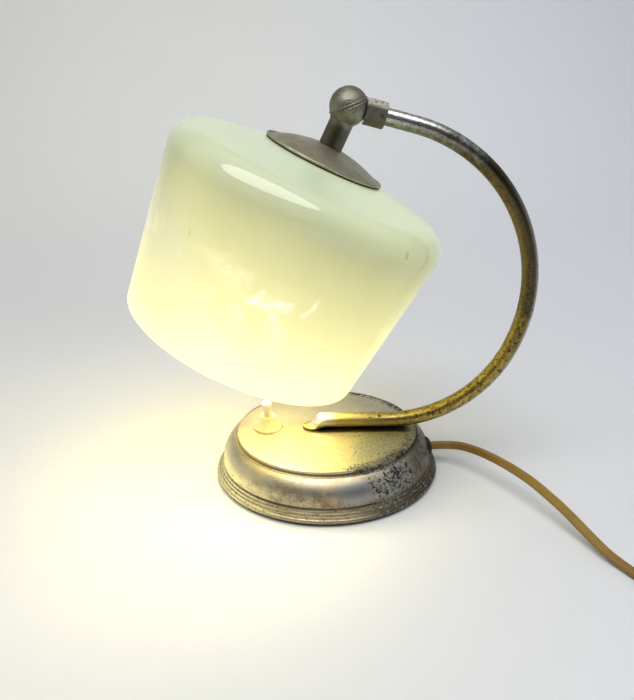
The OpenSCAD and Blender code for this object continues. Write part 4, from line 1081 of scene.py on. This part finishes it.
def nut_brass():
    """Worn nickelled brass with brown wear; its upper flats are painted bright as lit and its lower ones
    dark as shade.
    """
    p = Paint("nut_brass", Metallic=1.0)
    wear = p.noise(420, 4, 0.65)
    grain = p.noise(1000, 3, 0.65)
    over = p.axis((-NECK_WAY.z, 0, NECK_WAY.x), BALL)
    # Painted light on the upper flats and painted shade on the lower ones
    p.tone = p.mix(p.span(over, 3, 5.5), (0.26, 0.265, 0.195), (1.0, 0.95, 0.8))
    p.coat((0.22, 0.17, 0.11), p.span(wear, 0.48, 0.6, 0.0, 0.7))
    return p.finish(p.plus(p.times(grain, 0.2), 0.3), p.plus(grain, wear), 0.25, 0.0002)


def cream():
    """Yellowed plastic, painted paler at the lever's head where the bulb's light falls, with a faint painted
    glow as emission.
    """
    p = Paint("cream", Coat_Weight=0.3, Emission_Strength=1.0)
    cloud = p.noise(50, 4, 0.6, 0.3)
    skin = p.noise(1000, 3, 0.6)
    top = PLATE_Z + COLLAR_H
    head = p.span(p.axis(Z), top + 2, top + 6)
    p.tone = p.mix(p.span(cloud, 0.35, 0.68), (0.8, 0.655, 0.4), (0.72, 0.57, 0.31))
    # Painted light on the lever's head
    p.coat((0.7, 0.65, 0.54), head)
    p.coat((0.7, 0.6, 0.38), p.span(skin, 0.45, 0.75, 0.0, 0.3))
    # A faint painted glow, as emission
    p.set("Emission Color", p.mix(head, (0.07, 0.065, 0.05), (0.08, 0.08, 0.07)))
    return p.finish(p.plus(p.times(skin, 0.2), 0.26), skin, 0.05, 0.0002)


# Painted streaks of bulb light in the glass: first end, last end, width (mm) and strength
WISPS = [
    ((-37.3, -79.4, 140.3), (-27.2, -80.1, 138.1), 3.0, 0.9),
    ((-27.2, -80.1, 138.1), (-18.4, -79.7, 136.0), 3.2, 1.0),
    ((-33.0, -80.0, 141.5), (-30.6, -80.5, 144.6), 2.0, 0.6),
    ((-26.5, -79.1, 131.5), (-24.8, -79.1, 127.5), 2.6, 0.8),
    ((-24.5, -77.8, 122.5), (-23.0, -77.5, 119.0), 4.0, 0.55),
    ((-31.0, -76.9, 113.5), (-27.0, -76.6, 111.5), 3.5, 0.4),
    ((-44.5, -78.0, 136.0), (-43.5, -78.0, 131.5), 3.0, 0.5),
    ((-3.1, -78.3, 139.3), (-6.0, -77.9, 134.5), 1.3, 0.5),
    ((-6.0, -77.9, 134.5), (-11.5, -77.5, 130.5), 1.6, 0.4),
    ((-49.8, -76.2, 157.2), (-43.0, -78.6, 150.7), 7.0, 0.35),
]
WISP_SPREAD = 1.7
WISP_LIGHT = 0.75
# Ends of two small marks on the glass
SMUDGE = ((42.8, -63.6, 158.8), (42.4, -63.8, 157))
SCRATCH = ((-67.2, -64.8, 173.7), (-68, -64.5, 170))


def opal_glass():
    """Mint opal glass; the light of a bulb near its open end is painted on as an emitted glow."""
    p = Paint("opal_glass", IOR=1.62, Emission_Strength=1.0)
    x = p.axis(X)
    s = p.axis(HEAD_WAY, BALL)
    cloud = p.noise(14, 4, 0.6, 0.5)
    along = p.plus(s, p.times(p.less(cloud, 0.5), 14))
    along = p.less(along, p.span(x, -60, -92, 0, 14))
    p.tone = p.mix(p.span(along, 33, 62), (0.66, 0.75, 0.56), (0.72, 0.735, 0.43))
    p.coat((0.25, 0.28, 0.2), p.capsule(*SMUDGE, 0.5, 1.8), 0.55)
    p.coat((0.3, 0.31, 0.18), p.capsule(*SCRATCH, 0.1, 0.7), 0.6)
    hair = p.band(p.noise(9, 2, 0.5, 0.8), 0.56, 0.0022)
    p.coat((0.36, 0.4, 0.26), hair, p.span(x, 20, 50, 0.0, 0.25))

    # Painted glow, from green at the shoulder to pale yellow at the open end
    glow = p.mix(p.span(along, 45, 80), (0.07, 0.078, 0.026), (0.3, 0.275, 0.08))
    glow = p.mix(p.span(along, 70, 110), glow, (0.56, 0.5, 0.175))
    glow = p.mix(p.span(along, 100, 150), glow, (0.97, 0.88, 0.49))
    lift = p.times(p.span(x, -10, 40), p.span(s, 75, 45))
    glow = p.mix(lift, glow, (0.145, 0.15, 0.055))
    pale = p.times(p.span(x, -50, -85), p.band(s, 99, 42))
    glow = p.mix(pale, glow, (0.0, 0.0, 0.1), "ADD")
    cloudy = p.times(p.span(p.noise(46, 5, 0.65, 1.2), 0.5, 0.72), p.band(s, 104, 30))
    glow = p.mix(p.times(cloudy, 0.35), glow, (0.95, 0.86, 0.48))
    ragged = p.plus(p.times(p.span(p.noise((150, 150, 330), 4, 0.65, 1.0), 0.4, 0.62), 0.8), 0.2)
    for first, last, width, strength in WISPS:
        streak = p.times(p.capsule(first, last, 0, WISP_SPREAD * width), ragged, WISP_LIGHT * strength)
        glow = p.mix(streak, glow, (1.05, 1.02, 0.74))
    p.set("Emission Color", glow)
    polish = p.times(p.span(s, 39.5, 42.5), p.span(s, 60, 52))
    return p.finish(p.span(polish, 0.0, 1.0, 0.24, 0.05), cloud, 0.04, 0.002)


def bulb_white():
    """Frosted bulb, lit."""
    p = Paint("bulb_white", Emission_Strength=14.0)
    frost = p.noise(260)
    p.tone = p.mix(frost, (0.9, 0.88, 0.82), (0.97, 0.95, 0.9))
    p.set("Emission Color", p.mix(frost, (1.0, 0.8, 0.48), (1.0, 0.86, 0.58)))
    return p.finish(0.35, frost, 0.1, 0.0001)


def moulded(name, light, dark, rough, scale=240, bump=0.12, coat=0.0):
    """Moulded plastic, rubber or china with mottled colour and a fine skin."""
    p = Paint(name, Coat_Weight=coat)
    cloud = p.noise(scale / 4, 4, 0.6, 0.3)
    skin = p.noise(scale * 5, 3, 0.6)
    p.tone = p.mix(p.span(cloud, 0.35, 0.68), light, dark)
    p.coat(dark, p.span(skin, 0.45, 0.75, 0.0, 0.3))
    return p.finish(p.plus(p.times(skin, 0.2), rough - 0.1), skin, bump, 0.0002)


def fibrous(name, light, dark, scale):
    """Felt or fibre with a nap of short crossed threads."""
    p = Paint(name)
    threads = ((scale, scale * 4, scale), (scale * 4, scale, scale))
    nap = p.most(*(p.noise(thread, 3, 0.7, 0.5) for thread in threads))
    p.tone = p.mix(p.span(nap, 0.4, 0.75), dark, light)
    return p.finish(0.95, nap, 0.6, 0.0004)


def cord_brown():
    """Golden brown flex with rubbed, darker lengths."""
    p = Paint("cord_brown", Coat_Weight=0.12)
    cloud = p.span(p.noise(34, 5, 0.6, 0.4), 0.35, 0.68)
    skin = p.noise(900, 3, 0.6)
    p.tone = p.mix(cloud, (0.33, 0.195, 0.024), (0.25, 0.145, 0.024))
    p.coat((0.12, 0.07, 0.02), p.span(skin, 0.45, 0.78, 0.0, 0.35))
    return p.finish(p.plus(p.times(skin, 0.2), 0.36), skin, 0.15, 0.00015)


# Light and dark tone, roughness, patches and grains to the metre, then amount and tone of spots
SATIN = {
    "cap_nickel": ((0.57, 0.545, 0.415), (0.44, 0.39, 0.26), 0.46, 90, 1500),
    "brass": ((0.62, 0.47, 0.2), (0.46, 0.33, 0.12), 0.34, 160, 1200),
    "steel": ((0.17, 0.165, 0.145), (0.11, 0.105, 0.09), 0.45, 200, 1200, 0.03),
    "cover_steel": ((0.3, 0.29, 0.27), (0.2, 0.17, 0.13), 0.5, 60, 700, 0.06, (0.2, 0.09, 0.03)),
    "black_iron": ((0.1, 0.1, 0.1), (0.06, 0.055, 0.05), 0.62, 60, 500),
    "bulb_metal": ((0.62, 0.6, 0.55), (0.48, 0.46, 0.42), 0.35, 180, 1200),
}
# Light and dark tone, and threads to the metre
FIBROUS = {
    "felt": ((0.045, 0.075, 0.045), (0.015, 0.028, 0.016), 420),
    "fibre": ((0.26, 0.09, 0.05), (0.16, 0.05, 0.03), 700),
}
# Light and dark tone, roughness, lumps to the metre, bump and clear coat
MOULDED = {
    "rubber": ((0.01, 0.009, 0.008), (0.005, 0.005, 0.004), 0.66),
    "bakelite": ((0.055, 0.03, 0.02), (0.03, 0.016, 0.011), 0.32, 160, 0.05, 0.3),
    "porcelain": ((0.78, 0.77, 0.73), (0.7, 0.68, 0.63), 0.22, 200, 0.04, 0.4),
    "black_plastic": ((0.03, 0.029, 0.028), (0.016, 0.015, 0.015), 0.42, 300),
    "lead_white": ((0.72, 0.68, 0.58), (0.62, 0.57, 0.46), 0.5, 400),
    "tie_white": ((0.8, 0.79, 0.75), (0.7, 0.69, 0.65), 0.5, 500),
}
finishes = {
    "base_nickel": base_nickel(), "arm_brass": arm_brass(), "opal_glass": opal_glass(), "cream": cream(),
    "bulb_white": bulb_white(), "cord_brown": cord_brown(), "knuckle_nickel": knuckle_nickel(),
    "nut_brass": nut_brass(),
}
for recipe, looks in ((satin_metal, SATIN), (fibrous, FIBROUS), (moulded, MOULDED)):
    for name, look in looks.items():
        finishes[name] = recipe(name, *look)

for piece, slot in dressed:
    piece.data.materials.append(finishes[slot])
for row in frame["record"]["subparts"]:
    mesh = nodes[row["node"]].data
    mesh.materials.clear()
    mesh.materials.append(finishes[row["material_slot"]])

# Stage and light

FLOOR_FRONT = -1.6
FLOOR_BACK = 0.75
SWEEP_R = 0.55
SWEEP_STEPS = 12
SWEEP_TOP = 2.4
SWEEP_HALF = 2.6


def make_stage():
    """A pale floor that curves up into a backdrop, painted bluer to the right for the cooler light there."""
    line = [(FLOOR_FRONT, 0.0), (0.0, 0.0), (FLOOR_BACK, 0.0)]
    line += arc((FLOOR_BACK, SWEEP_R), SWEEP_R, -90, 0, SWEEP_STEPS)[1:]
    line += [(FLOOR_BACK + SWEEP_R, SWEEP_TOP)]
    vertices = [(x, y, z) for y, z in line for x in (-SWEEP_HALF, SWEEP_HALF)]
    faces = [(2 * i, 2 * i + 1, 2 * i + 3, 2 * i + 2) for i in range(len(line) - 1)]
    mesh = bpy.data.meshes.new("studio_sweep")
    mesh.from_pydata(vertices, [], faces)
    for face in mesh.polygons:
        face.use_smooth = True
    sweep = bpy.data.objects.new("studio_sweep", mesh)
    bpy.context.scene.collection.objects.link(sweep)
    p = Paint("paper", Roughness=0.75)
    warm = p.mix(p.noise(6), (0.8, 0.805, 0.795), (0.82, 0.825, 0.815))
    # Painted cooler light on the right of the paper
    p.set("Base Color", p.mix(p.span(p.axis(X), -200, 350), warm, (0.775, 0.79, 0.83)))
    mesh.materials.append(p.material)


def area_light(name, at, target, size, power, tint, spread=180, shape="RECTANGLE", mirrored=False):
    """A lamp of the studio; only a mirrored one shows in polished surfaces."""
    data = bpy.data.lights.new(name, "AREA")
    data.shape = shape
    data.size, data.size_y = size
    data.energy = power
    data.color = tint
    data.spread = radians(spread)
    light = bpy.data.objects.new(name, data)
    light.location = at
    light.rotation_euler = (Vector(target) - Vector(at)).to_track_quat("-Z", "Y").to_euler()
    light.visible_glossy = mirrored
    bpy.context.scene.collection.objects.link(light)


make_stage()
area_light("overhead", at=(-0.065, -0.575, 1.5), target=(-0.065, -0.575, 0.0), size=(1.92, 1.08), power=20.1,
           tint=(1.0, 0.992, 0.998), shape="ELLIPSE", mirrored=True)
area_light("right_fill", at=(1.5, 0.1, 0.8), target=(0.1, 0.5, 0.0), size=(1.0, 1.0), power=3,
           tint=(0.84, 0.92, 1.0))
area_light("backdrop_light", at=(-0.3, 0.35, 1.7), target=(-0.2, 1.3, 0.24), size=(2.0, 0.5), power=3.5,
           tint=(0.99, 1.0, 0.955), spread=80)


def make_world():
    """A dim room: grey above and at the sides, dark behind the camera."""
    world = bpy.data.worlds.new("studio")
    world.use_nodes = True
    room = Nodes(world.node_tree, "Generated")
    front = room.span(room.axis((0.03, -0.93, 0.36)), 0.15, 0.75)
    air = room.mix(front, (0.345, 0.355, 0.365), (0.035, 0.035, 0.037))
    room.link(room.tree.nodes["Background"].inputs["Color"], air)
    bpy.context.scene.world = world


make_world()
bpy.context.scene.view_settings.view_transform = "Standard"
